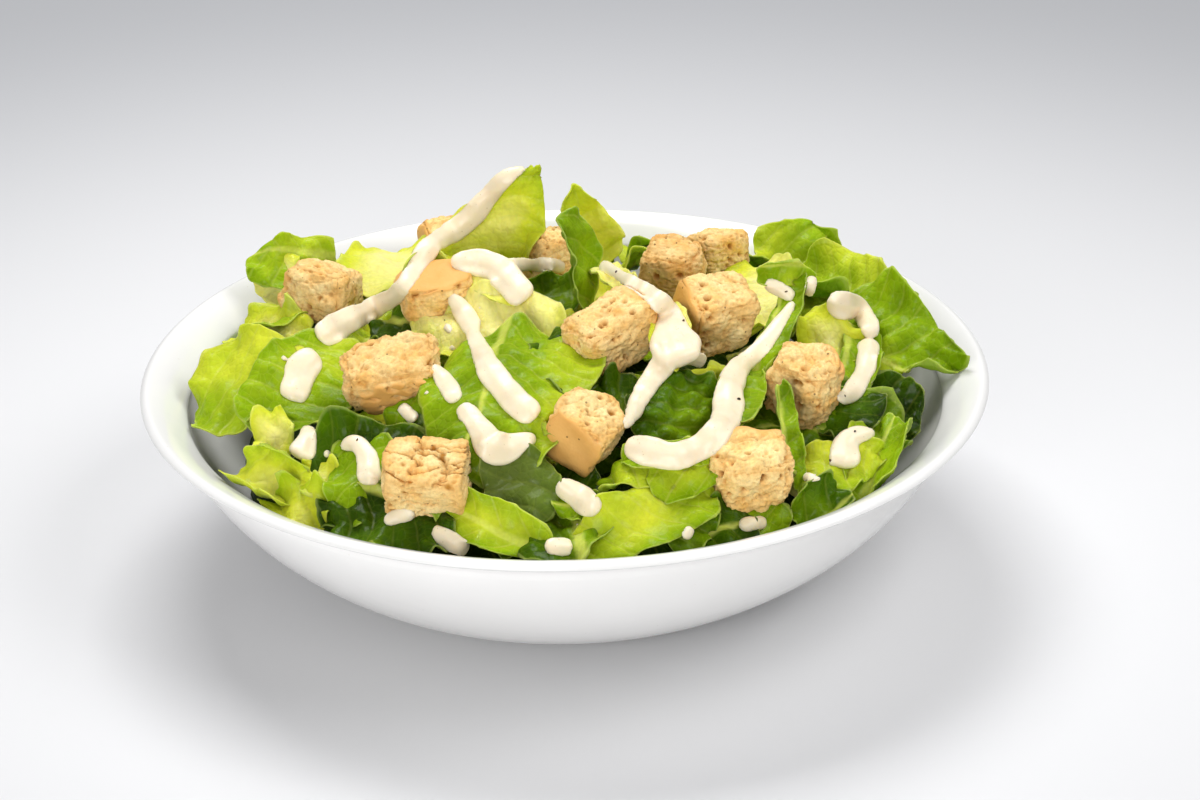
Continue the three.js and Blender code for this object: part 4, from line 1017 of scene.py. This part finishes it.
def packedCore():
    # rings of points: over the top, down beside the wall and in over the floor of the bowl
    rings, sectors, low = coreLook["rings"], coreLook["sectors"], coreLook["low"]
    angle = np.arange(sectors) * 2 * math.pi / sectors
    places = []
    for radius in [0.5 + coreLook["reach"] * (k / rings) ** 0.85 for k in range(rings)]:
        x, y = radius * np.cos(angle), radius * np.sin(angle)
        places.append(np.stack([x, y, packedTop(x, y, radius)], 1))
    wallHeights = np.linspace(coreLook["wallTop"], low, coreLook["wallRings"])
    wall = [(float(innerRadius(z)) - coreLook["wallGap"], z) for z in wallHeights]
    for radius, z in wall + [(radius, low - 0.5) for radius in (36, 20, 0.5)]:
        places.append(np.stack([radius * np.cos(angle), radius * np.sin(angle), np.full(sectors, z)], 1))
    points = np.vstack(places)
    points[:, :2] *= np.minimum(1, (innerRadius(points[:, 2]) - coreLook["wallGap"])
                                / np.maximum(np.hypot(points[:, 0], points[:, 1]), 0.01))[:, None]
    number = np.arange(len(points)).reshape(-1, sectors)
    around = np.roll(number, -1, axis=1)
    quads = [np.stack([number[:-1], number[1:], around[1:], around[:-1]], -1).reshape(-1, 4)]
    # both ends close on a small ring of quads round their middle
    half = sectors // 2
    for ring, turn in ((number[0], 1), (number[-1], -1)):
        back = ring[::-1]
        cap = np.stack([ring[:half - 1], ring[1:half], back[1:half], back[:half - 1]], -1)
        quads.append(cap[:, ::turn])
    x, y = points[:, 0], points[:, 1]
    # painted shade: the core takes the darkest leaf colour
    values = {"tone": coreLook["tone"] + 0.12 * np.sin(x / 9) * np.sin(y / 8), "veinRun": (x + 0.6 * y) / 8}
    values.update({name: np.zeros(len(points)) for name in ("onRib", "margin", "underside")})
    mesh = plainMesh("packedLeaf", points, np.vstack(quads), values, points[:, :2] * mm)
    piece = newObject("packedLeaf", mesh)
    facedOutwards(mesh)
    return finishPiece(piece, romaine, "salad", "salad")


def scrapTree():
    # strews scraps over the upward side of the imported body, each turned and tilted at random
    tree, given = geometryTree("strewnScraps", {"Scraps": "Collection", "Count": "Float", "Reach": "Float",
                                                "Seed": "Int", "Material": "Material"})
    place = addNode(tree, "GeometryNodeInputPosition").outputs[0]
    flatPlace = addNode(tree, "ShaderNodeVectorMath", {0: place, 1: (1.0, 1.0, 0.0)},
                        operation="MULTIPLY").outputs[0]
    radius = addNode(tree, "ShaderNodeVectorMath", {0: flatPlace}, operation="LENGTH").outputs["Value"]
    near = addNode(tree, "FunctionNodeCompare", {0: radius, 1: given["Reach"]}, data_type="FLOAT",
                   operation="LESS_THAN").outputs[0]
    normal = addNode(tree, "GeometryNodeInputNormal").outputs[0]
    upward = addNode(tree, "ShaderNodeSeparateXYZ", {0: normal}).outputs[2]
    lit = addNode(tree, "FunctionNodeCompare", {0: upward, 1: 0.5}, data_type="FLOAT",
                  operation="GREATER_THAN").outputs[0]
    chosen = addNode(tree, "FunctionNodeBooleanMath", {0: near, 1: lit}, operation="AND").outputs[0]
    square = addNode(tree, "ShaderNodeMath", {0: given["Reach"], 1: 2.0}, operation="POWER").outputs[0]
    area = addNode(tree, "ShaderNodeMath", {0: square, 1: math.pi}, operation="MULTIPLY").outputs[0]
    density = addNode(tree, "ShaderNodeMath", {0: given["Count"], 1: area}, operation="DIVIDE").outputs[0]
    points = addNode(tree, "GeometryNodeDistributePointsOnFaces", {
        "Mesh": given["Geometry"], "Selection": chosen, "Density": density, "Seed": given["Seed"]})
    scraps = addNode(tree, "GeometryNodeCollectionInfo", {
        "Collection": given["Scraps"], "Separate Children": True, "Reset Children": True})
    tilt = addNode(tree, "FunctionNodeRandomValue", {0: (-0.6, -0.6, 0.0), 1: (0.6, 0.6, 6.283),
                                                     "Seed": given["Seed"]}, data_type="FLOAT_VECTOR")
    size = addNode(tree, "FunctionNodeRandomValue", {2: 0.75, 3: 1.25, "Seed": given["Seed"]},
                   data_type="FLOAT")
    strewn = addNode(tree, "GeometryNodeInstanceOnPoints", {
        "Points": points.outputs[0], "Instance": scraps.outputs[0], "Pick Instance": True,
        "Rotation": tilt.outputs[0], "Scale": size.outputs[1]})
    endTree(tree, strewn.outputs[0], given["Material"])
    return tree


def makeScraps(core):
    box = bpy.data.collections.new("scrapShapes")
    bpy.context.scene.collection.children.link(box)
    for k, kind in enumerate(coreLook["scrapKinds"]):
        seed = scrapSeed + k
        scrap = dict(root=(-8 + k, 0, 1), tip=(9 - k / 2, 0, 1), face=(0, 90), width=12 + k, kind=kind,
                     bend=between(20, 90, seed, 1), cup=between(-40, 40, seed, 2), ruffle=1.0)
        mesh = plainMesh("scrap%d" % k, *leafBlade(scrap, seed, coreLook["scrapSpacing"]))
        box.objects.link(bpy.data.objects.new("scrap%d" % k, mesh))
    piece = throughNodes(core.data.copy(), scrapTree(), {
        "Scraps": box, "Count": float(coreLook["scraps"]), "Reach": coreLook["scrapReach"] * mm,
        "Seed": coreLook["scrapDraw"], "Material": romaine}, "leafScraps")
    for scrap in list(box.objects):
        bpy.data.objects.remove(scrap)
    bpy.data.collections.remove(box)
    kept = keepInBowl(meshPoints(piece.data) / mm) * mm
    piece.data.vertices.foreach_set("co", kept.ravel())
    return finishPiece(piece, None, "salad", "salad")


core = packedCore()
scraps = makeScraps(core)
print("heap packed,", len(scraps.data.polygons), "scrap faces")


# Camera. Its image is 1200 by 800; places in it are (across, down) from its top left corner

view = dict(
    distance=900, elevation=25.3, roll=1.0, aimHeight=52, focal=103.68, filmWidth=36,
    imageWidth=1200, imageHeight=800, shiftAcross=35.4, shiftUp=-33.4,
)


def cameraAxes():
    elevation, roll = rad(view["elevation"]), rad(view["roll"])
    side, up = Vector((1, 0, 0)), Vector((0, math.sin(elevation), math.cos(elevation)))
    back = Vector((0, -math.cos(elevation), math.sin(elevation)))
    return side * math.cos(roll) - up * math.sin(roll), side * math.sin(roll) + up * math.cos(roll), back


def cameraPlace():
    across, upright, back = cameraAxes()
    perPixel = view["distance"] / (view["focal"] / view["filmWidth"] * view["imageWidth"])
    return Vector((0, 0, view["aimHeight"])) + back * view["distance"] \
        + across * view["shiftAcross"] * perPixel + upright * view["shiftUp"] * perPixel


def sightLine(acrossImage, downImage):
    across, upright, back = cameraAxes()
    perDepth = view["filmWidth"] / view["focal"] / view["imageWidth"]
    return (across * (acrossImage - view["imageWidth"] / 2) * perDepth
            - upright * (downImage - view["imageHeight"] / 2) * perDepth - back).normalized()


# Dressing: strands of thick emulsion. A path is places in the camera's image, and the strand lies on what
# is in front there; its widths are in millimetres

strands = [
    dict(path=((524, 168), (508, 176), (494, 190), (482, 203), (470, 217), (456, 230), (438, 240),
               (424, 254), (412, 272), (403, 288), (388, 300), (368, 311), (348, 321), (325, 334)),
         width=(2.5, 4.5, 5, 5.5, 7, 6.5, 5.5, 5.5, 5, 5, 5.5, 6, 7.5, 8)),
    dict(path=((452, 298), (461, 308), (469, 322), (475, 338), (480, 350), (488, 366), (498, 382),
               (509, 395), (520, 405), (532, 414)), width=(4, 5, 5.5, 4.5, 5, 6.2, 6.8, 7.4, 7.6, 6)),
    dict(path=((434, 366), (441, 376), (448, 387), (455, 399)), width=(2.4, 4, 5.2, 5.2)),
    dict(path=((464, 408), (472, 419), (481, 432), (492, 446), (508, 449), (522, 442), (536, 438)),
         width=(5, 5.4, 6.8, 8.4, 6.8, 4.8, 2.4)),
    dict(path=((309, 429), (307, 440), (302, 452)), width=(3.5, 6, 8)),
    dict(path=((343, 448), (353, 443), (363, 450), (369, 463), (369, 482)), width=(3, 4.8, 5.2, 5.8, 5.2)),
    dict(path=((311, 360), (302, 368), (299, 381), (294, 393)), width=(7.5, 9, 7.5, 8)),
    dict(path=((456, 262), (478, 262), (495, 268), (508, 280), (522, 294)), width=(5, 7, 7.5, 9, 7.5)),
    dict(path=((496, 268), (520, 265), (545, 265), (564, 267)), width=(5, 4.2, 4, 3.5)),
    dict(path=((603, 265), (616, 273), (634, 284), (652, 295), (668, 312), (672, 328), (674, 342),
               (677, 354)), width=(3.5, 3.5, 4, 5, 6.5, 9, 11.5, 11.5)),
    dict(path=((702, 361), (688, 356), (671, 358), (658, 370), (647, 386), (638, 403), (630, 418),
               (625, 428)), width=(4, 5, 5.8, 5.8, 5.6, 5, 4, 2.5)),
    dict(path=((768, 284), (780, 290), (792, 297)), width=(4, 4.5, 4)),
    dict(path=((793, 303), (784, 317), (774, 332), (762, 347), (747, 360), (735, 374), (729, 390),
               (729, 406), (723, 424), (712, 439), (694, 450), (672, 457), (650, 452), (630, 446)),
         width=(2.6, 3.4, 4, 4.6, 5.4, 6.6, 7.2, 7.4, 7.4, 7.2, 6.8, 7, 6.8, 6)),
    dict(path=((812, 280), (809, 294)), width=(3.5, 3)),
    dict(path=((834, 302), (846, 306), (858, 309), (868, 322), (870, 334)), width=(6, 7.5, 6.5, 5.5, 5)),
    dict(path=((869, 345), (867, 360), (863, 376), (852, 392), (840, 399)), width=(5.5, 6, 5.5, 5, 3)),
    dict(path=((845, 460), (846, 446), (855, 436), (873, 433)), width=(7.5, 7.5, 5.5, 3)),
    dict(path=((806, 477), (822, 479)), width=(3, 2.5)),
    dict(path=((561, 487), (573, 493), (585, 501), (596, 510)), width=(5, 6.4, 6.4, 5)),
    dict(path=((550, 547), (570, 547)), width=(5, 5)),
    dict(path=((387, 522), (398, 516), (413, 514)), width=(3.4, 4, 3)),
    dict(path=((436, 530), (449, 540), (464, 549)), width=(4, 5, 4.5)),
    dict(path=((685, 536), (691, 527)), width=(3.6, 3)),
    dict(path=((742, 525), (764, 523)), width=(4, 4)),
    dict(path=((402, 408), (413, 418)), width=(4, 4)),
    dict(path=((446, 327), (451, 331)), width=(3, 3)),
]


dressingLook = dict(
    seenStep=1.2, step=0.5, rows=7, spread=0.36, reach=0.18, ragged=0.08, droop=1.2, swell=0.05,
    steepest=3, plump=1.05, overrun=0.25, pixelsPerMm=3.84, farAway=1e4, voxel=0.44, softening=5,
    droplets=10, dropletSeed=601, dropletRadii=(0.6, 1.2), dropletReach=86, dropletLowest=40,
    light="#fbedd2", shade="#f3e0be", fleck="#b9a36a",
)


def heapSurface(pieces):
    # one search tree over the pieces, in millimetres
    places, corners, count = [], [], 0
    for piece in pieces:
        places.append(meshPoints(piece.data) / mm)
        corners.append(meshTriangles(piece.data) + count)
        count += len(places[-1])
    return BVHTree.FromPolygons(np.vstack(places).tolist(), np.vstack(corners).tolist())


def firstHit(surface, eye, line):
    # distance to what is in front along a line of sight
    distance = surface.ray_cast(eye, line)[3]
    return dressingLook["farAway"] if distance is None else distance


def evened(values, window):
    # a running mean with soft ends, down each column
    weights = np.hanning(2 * window + 3)[1:-1, None]
    weights = weights[:, 0] / weights.sum()
    padded = np.pad(values, ((window, window), (0, 0)), mode="edge")
    return np.stack([np.convolve(column, weights, mode="valid") for column in padded.T], 1)


def alongPath(points, step):
    # the same path with points a step apart
    gone = np.concatenate([[0], np.cumsum(np.linalg.norm(np.diff(points[:, :3], axis=0), axis=1))])
    at = np.arange(0, gone[-1], step)
    return np.stack([np.interp(at, gone, column) for column in points.T], 1), at


def laidStrand(strand, surface):
    # the strand as (x, y, z, width), lying on what is in front along its line of sight
    eye, perMm = cameraPlace(), dressingLook["pixelsPerMm"]
    keys = [(u, v, 0, width) for (u, v), width in zip(strand["path"], strand["width"])]
    # the ends reach past the first and last place, as a poured end does
    for end, following in ((0, 1), (-1, -2)):
        out = np.array(keys[end][:2], float) - keys[following][:2]
        out *= dressingLook["overrun"] * keys[end][3] * perMm / np.linalg.norm(out)
        keys[end] = (keys[end][0] + out[0], keys[end][1] + out[1], 0, keys[end][3])
    seen, _ = alongPath(smoothPath(keys, 30), dressingLook["seenStep"])
    heading = np.gradient(seen[:, :2], axis=0)
    heading /= np.maximum(np.linalg.norm(heading, axis=1, keepdims=True), 1e-6)
    depth = np.full(len(seen), dressingLook["farAway"])
    for share in (-0.3, 0, 0.3):
        # the strand rests on whatever is nearest over its width
        offset = share * seen[:, 3] * perMm
        for k, (u, v) in enumerate(seen[:, :2]):
            line = sightLine(u - heading[k, 1] * offset[k], v + heading[k, 0] * offset[k])
            depth[k] = min(depth[k], firstHit(surface, eye, line))
    # over a gap it bridges, and past an edge it hangs down steeply
    fall = dressingLook["steepest"] * dressingLook["seenStep"] / perMm
    for step, order in ((1, range(1, len(depth))), (-1, range(len(depth) - 2, -1, -1))):
        for k in order:
            depth[k] = min(depth[k], depth[k - step] + fall)
    soft = evened(depth[:, None], min(8, len(depth) // 3))[:, 0]
    soft = np.minimum(soft, depth + 0.2)
    places = np.array([eye + sightLine(u, v) * far for (u, v), far in zip(seen[:, :2], soft)])
    return np.hstack([places, seen[:, 3:]])


def strandPoints(strand, k, surface):
    # soft rows of points along the strand, pulled in front of what would hide them, with their radii
    eye = cameraPlace()
    origin = np.array(eye)
    run, at = alongPath(laidStrand(strand, surface), dressingLook["step"])
    centre, width = evened(run[:, :3], 5), run[:, 3]
    width = width * dressingLook["plump"] * (1 + dressingLook["swell"] * np.sin(at / 6.3 + k))
    width = width * (0.6 + 0.4 * np.sqrt(smoothStep(-0.5, 3, at) * smoothStep(-0.5, 3, at[-1] - at)))
    gaze = centre - origin
    gaze /= np.linalg.norm(gaze, axis=1, keepdims=True)
    aside = np.cross(np.gradient(centre, axis=0), gaze)
    aside = evened(aside / np.maximum(np.linalg.norm(aside, axis=1, keepdims=True), 1e-6), 4)
    half = dressingLook["rows"] // 2
    lines, depths, falls = [], [], []
    for row in range(-half, half + 1):
        ragged = 1 + dressingLook["ragged"] * (
            np.sin(at / 3.1 + 2.3 * np.sign(row) + k) + 0.6 * np.sin(at / 1.7 + row + k))
        rowPlaces = centre + aside * (row / half * dressingLook["spread"] * width * ragged)[:, None] - origin
        far = np.linalg.norm(rowPlaces, axis=1)
        line = rowPlaces / far[:, None]
        behind = np.array([firstHit(surface, eye, Vector(one)) for one in line])
        lines.append(line)
        falls.append(behind)
        depths.append(np.clip(behind, far - 4, far + dressingLook["droop"] * abs(row) / half))
    depths = np.array(depths)
    beside = [depths[max(0, row - 1):row + 2].mean(axis=0) for row in range(len(depths))]
    places, reach = [], []
    for row, (line, depth, fall) in enumerate(zip(lines, beside, falls)):
        thick = dressingLook["reach"] * width * (1 - 0.1 * abs(row - half))
        depth = evened(depth[:, None], 7)[:, 0] if len(depth) > 15 else depth
        depth = np.minimum(depth, fall + 0.3) - 0.35 * thick
        places.append(origin + line * evened(depth[:, None], 3))
        reach.append(thick)
        for lower in (1, 2, 3):
            # more under it, down to what carries it
            under = depth + lower * thick
            kept = (under < fall) & (fall < depth + 5)
            places.append((origin + line * under[:, None])[kept])
            reach.append(thick[kept])
    return places, reach


def dropletPoints(surface):
    # a few small drops beside the strands
    places, reach = [], []
    for k in range(dressingLook["droplets"]):
        seed = dressingLook["dropletSeed"] + k
        strand = strands[int(draw(seed, 1) * len(strands))]
        u, v = strand["path"][int(draw(seed, 2) * len(strand["path"]))]
        line = sightLine(u + between(-30, 30, seed, 3), v + between(-20, 20, seed, 4))
        hit = surface.ray_cast(cameraPlace(), line)[0]
        onHeap = hit and hit.z > dressingLook["dropletLowest"]
        if onHeap and math.hypot(hit.x, hit.y) < dressingLook["dropletReach"]:
            places.append(np.array([list(hit)]))
            reach.append(np.array([between(*dressingLook["dropletRadii"], seed, 5)]))
    return places, reach


def dressingPoints(surface):
    places, reach = [], []
    runs = [strandPoints(strand, k, surface) for k, strand in enumerate(strands)]
    for runPlaces, runReach in runs + [dropletPoints(surface)]:
        places += runPlaces
        reach += runReach
    return np.vstack(places), np.concatenate(reach)


def emulsionTree():
    # joins the points of the strands into one soft skin
    tree, given = geometryTree("pouredDressing", {
        "VoxelSize": "Float", "Softening": "Int", "Material": "Material"})
    reach = addNode(tree, "GeometryNodeInputNamedAttribute", {"Name": "reach"}, data_type="FLOAT").outputs[0]
    points = addNode(tree, "GeometryNodeMeshToPoints", {"Mesh": given["Geometry"]})
    volume = addNode(tree, "GeometryNodePointsToVolume", {
        "Points": points.outputs[0], "Voxel Size": given["VoxelSize"], "Radius": reach},
        resolution_mode="VOXEL_SIZE")
    skin = addNode(tree, "GeometryNodeVolumeToMesh", {
        "Volume": volume.outputs[0], "Voxel Size": given["VoxelSize"], "Threshold": 0.1},
        resolution_mode="VOXEL_SIZE")
    place = addNode(tree, "GeometryNodeInputPosition").outputs[0]
    soft = addNode(tree, "GeometryNodeBlurAttribute", {"Value": place, "Iterations": given["Softening"]},
                   data_type="FLOAT_VECTOR")
    eased = addNode(tree, "GeometryNodeSetPosition", {
        "Geometry": skin.outputs[0], "Position": soft.outputs[0]})
    smooth = addNode(tree, "GeometryNodeSetShadeSmooth", {"Geometry": eased.outputs[0]})
    endTree(tree, smooth.outputs[0], given["Material"])
    return tree


def creamyEmulsion():
    # Egg and oil emulsion with grated cheese: opaque ivory, soft light inside, a satin wet gloss
    material, tree, shader = newMaterial("creamyEmulsion")
    place = addNode(tree, "ShaderNodeTexCoord").outputs["Object"]
    cloud = addNode(tree, "ShaderNodeTexNoise", {
        "Vector": place, "Scale": 1 / (5 * mm), "Detail": 3.0}).outputs[0]
    cream = addNode(tree, "ShaderNodeMix", {
        0: cloud, 6: hexColour(dressingLook["shade"]), 7: hexColour(dressingLook["light"])},
        data_type="RGBA").outputs[2]
    cells = addNode(tree, "ShaderNodeTexVoronoi", {"Vector": place, "Scale": 1 / (1.9 * mm)})
    herb = addNode(tree, "ShaderNodeMapRange", {
        0: cells.outputs["Distance"], 1: 0.06, 2: 0.12, 3: 0.5, 4: 0.0})
    flecked = addNode(tree, "ShaderNodeMix", {
        0: herb.outputs[0], 6: cream, 7: hexColour(dressingLook["fleck"])}, data_type="RGBA").outputs[2]
    # grated cheese in the emulsion, at its real grain
    grain = addNode(tree, "ShaderNodeTexNoise", {
        "Vector": place, "Scale": 1 / (1.1 * mm), "Detail": 2.0}).outputs[0]
    bump = addNode(tree, "ShaderNodeBump", {
        "Height": grain, "Strength": 0.25, "Distance": 0.25 * mm}).outputs[0]
    setInputs(tree, shader, {
        "Base Color": flecked, "Normal": bump, "Roughness": 0.3, "IOR": 1.44, "Subsurface Weight": 0.4,
        "Subsurface Radius": (1.0, 0.8, 0.5), "Subsurface Scale": 1.6 * mm})
    return material


def makeDressing():
    places, reach = dressingPoints(heapSurface(leafPieces + toasts + [core, scraps, dish]))
    mesh = plainMesh("strandPoints", places, np.empty((0, 4)), {"reach": reach * mm})
    piece = throughNodes(mesh, emulsionTree(), {
        "VoxelSize": dressingLook["voxel"] * mm, "Softening": dressingLook["softening"],
        "Material": creamyEmulsion()}, "pouredDressing")
    return finishPiece(piece, None, "dressing", "salad")


dressing = makeDressing()
print("dressing poured,", len(dressing.data.polygons), "faces")


# Pepper: coarse ground flakes stuck to the dressing

pepperLook = dict(perSquareMetre=3800, size=0.42, seed=5, husk="#2b1d12", broken="#7a5c3a")


def pepperTree():
    tree, given = geometryTree("groundPepper", {"Density": "Float", "FlakeSize": "Float", "Seed": "Int",
                                                "Material": "Material"})
    normal = addNode(tree, "GeometryNodeInputNormal").outputs[0]
    upward = addNode(tree, "ShaderNodeSeparateXYZ", {0: normal}).outputs[2]
    lit = addNode(tree, "FunctionNodeCompare", {0: upward, 1: 0.35}, data_type="FLOAT",
                  operation="GREATER_THAN").outputs[0]
    points = addNode(tree, "GeometryNodeDistributePointsOnFaces", {
        "Mesh": given["Geometry"], "Selection": lit, "Density": given["Density"], "Seed": given["Seed"]})
    ball = addNode(tree, "GeometryNodeMeshIcoSphere", {"Radius": given["FlakeSize"], "Subdivisions": 2})
    place = addNode(tree, "GeometryNodeInputPosition").outputs[0]
    rough = addNode(tree, "ShaderNodeTexNoise", {"Vector": place, "Scale": 1 / (0.35 * mm), "Detail": 1.0})
    centred = addNode(tree, "ShaderNodeVectorMath", {0: rough.outputs["Color"], 1: (0.5, 0.5, 0.5)},
                      operation="SUBTRACT").outputs[0]
    offset = addNode(tree, "ShaderNodeVectorMath", {0: centred, 3: given["FlakeSize"]},
                     operation="SCALE").outputs[0]
    flake = addNode(tree, "GeometryNodeSetPosition", {"Geometry": ball.outputs["Mesh"], "Offset": offset})
    turn = addNode(tree, "FunctionNodeRandomValue", {0: (0.0, 0.0, 0.0), 1: (6.28, 6.28, 6.28),
                                                     "Seed": given["Seed"]}, data_type="FLOAT_VECTOR")
    size = addNode(tree, "FunctionNodeRandomValue", {0: (0.5, 0.7, 0.4), 1: (1.2, 1.4, 0.8),
                                                     "Seed": given["Seed"]}, data_type="FLOAT_VECTOR")
    strewn = addNode(tree, "GeometryNodeInstanceOnPoints", {
        "Points": points.outputs[0], "Instance": flake.outputs[0], "Rotation": turn.outputs[0],
        "Scale": size.outputs[0]})
    endTree(tree, strewn.outputs[0], given["Material"])
    return tree


def crackedPepper():
    # Ground black pepper: dull brown-black husk with paler broken faces
    material, tree, shader = newMaterial("crackedPepper")
    place = addNode(tree, "ShaderNodeTexCoord").outputs["Object"]
    cloud = addNode(tree, "ShaderNodeTexNoise", {
        "Vector": place, "Scale": 1 / (0.6 * mm), "Detail": 1.0}).outputs[0]
    part = addNode(tree, "ShaderNodeMapRange", {0: cloud, 1: 0.5, 2: 0.65, 3: 0.0, 4: 1.0}).outputs[0]
    tone = addNode(tree, "ShaderNodeMix", {
        0: part, 6: hexColour(pepperLook["husk"]), 7: hexColour(pepperLook["broken"])},
        data_type="RGBA").outputs[2]
    setInputs(tree, shader, {"Base Color": tone, "Roughness": 0.7})
    return material


def makePepper():
    piece = throughNodes(dressing.data.copy(), pepperTree(), {
        "Density": float(pepperLook["perSquareMetre"]), "FlakeSize": pepperLook["size"] * mm,
        "Seed": pepperLook["seed"], "Material": crackedPepper()}, "pepperFlakes")
    return finishPiece(piece, None, "pepper", "salad")


pepper = makePepper()
print("pepper ground,", len(pepper.data.polygons), "faces")


# Floor, light and camera

# metres and watts, but floorDrop, how far the floor lies under the bowl, is in millimetres
room = dict(
    floorSize=4.0, floorDrop=0.05, paperLight="#e2e2e3", paperFar="#b4b5b8", air="#f1f2f5", glow=0.3,
    lampAim=(0, 0, 0.05),
)
lamps = dict(
    window=dict(place=(-0.12, 0.35, 0.8), size=(0.5, 0.4), power=5.2),
    fill=dict(place=(0.6, -0.22, 0.85), size=(0.7, 0.5), power=4.3),
    front=dict(place=(-0.3, -1.1, 0.38), size=(0.6, 0.5), power=7.3),
)


def paperFloor():
    # Matt white paper sheet: no gloss, a faint fibre, darker far away where less light falls
    material, tree, shader = newMaterial("paperFloor")
    place = addNode(tree, "ShaderNodeTexCoord").outputs["Object"]
    away = addNode(tree, "ShaderNodeVectorMath", {0: place}, operation="LENGTH").outputs["Value"]
    far = addNode(tree, "ShaderNodeMapRange", {0: away, 1: 0.14, 2: 0.5, 3: 0.0, 4: 1.0},
                  interpolation_type="SMOOTHSTEP").outputs[0]
    fibre = addNode(tree, "ShaderNodeTexNoise", {
        "Vector": place, "Scale": 1 / (3 * mm), "Detail": 3.0}).outputs[0]
    shade = addNode(tree, "ShaderNodeMix", {
        0: far, 6: hexColour(room["paperLight"]), 7: hexColour(room["paperFar"])},
        data_type="RGBA").outputs[2]
    bump = addNode(tree, "ShaderNodeBump", {
        "Height": fibre, "Strength": 0.05, "Distance": 0.1 * mm}).outputs[0]
    setInputs(tree, shader, {"Base Color": shade, "Normal": bump, "Roughness": 0.9})
    return material


def makeStage():
    half, low = room["floorSize"] / 2 / mm, -room["floorDrop"]
    points = [(-half, -half, low), (half, -half, low), (half, half, low), (-half, half, low)]
    floor = newObject("paperSheet", plainMesh("paperSheet", points, [(0, 1, 2, 3)]))
    floor.data.materials.append(paperFloor())

    for name, lamp in lamps.items():
        light = bpy.data.lights.new(name, "AREA")
        light.shape = "RECTANGLE"
        light.size, light.size_y = lamp["size"]
        light.energy = lamp["power"]
        holder = newObject(name, light)
        holder.location = lamp["place"]
        fromAim = Vector(lamp["place"]) - Vector(room["lampAim"])
        holder.rotation_euler = fromAim.to_track_quat("Z", "Y").to_euler()

    world = bpy.data.worlds.new("paleRoom")
    world.use_nodes = True
    background = world.node_tree.nodes["Background"]
    setInputs(world.node_tree, background, {"Color": hexColour(room["air"]), "Strength": room["glow"]})
    bpy.context.scene.world = world

    lens = bpy.data.cameras.new("tableCamera")
    lens.lens, lens.sensor_width = view["focal"], view["filmWidth"]
    camera = newObject("tableCamera", lens)
    camera.matrix_world = Matrix(cameraAxes()).transposed().to_4x4()
    camera.location = cameraPlace() * mm
    bpy.context.scene.camera = camera
    bpy.context.scene.view_settings.view_transform = "Standard"


makeStage()
print("stage set")
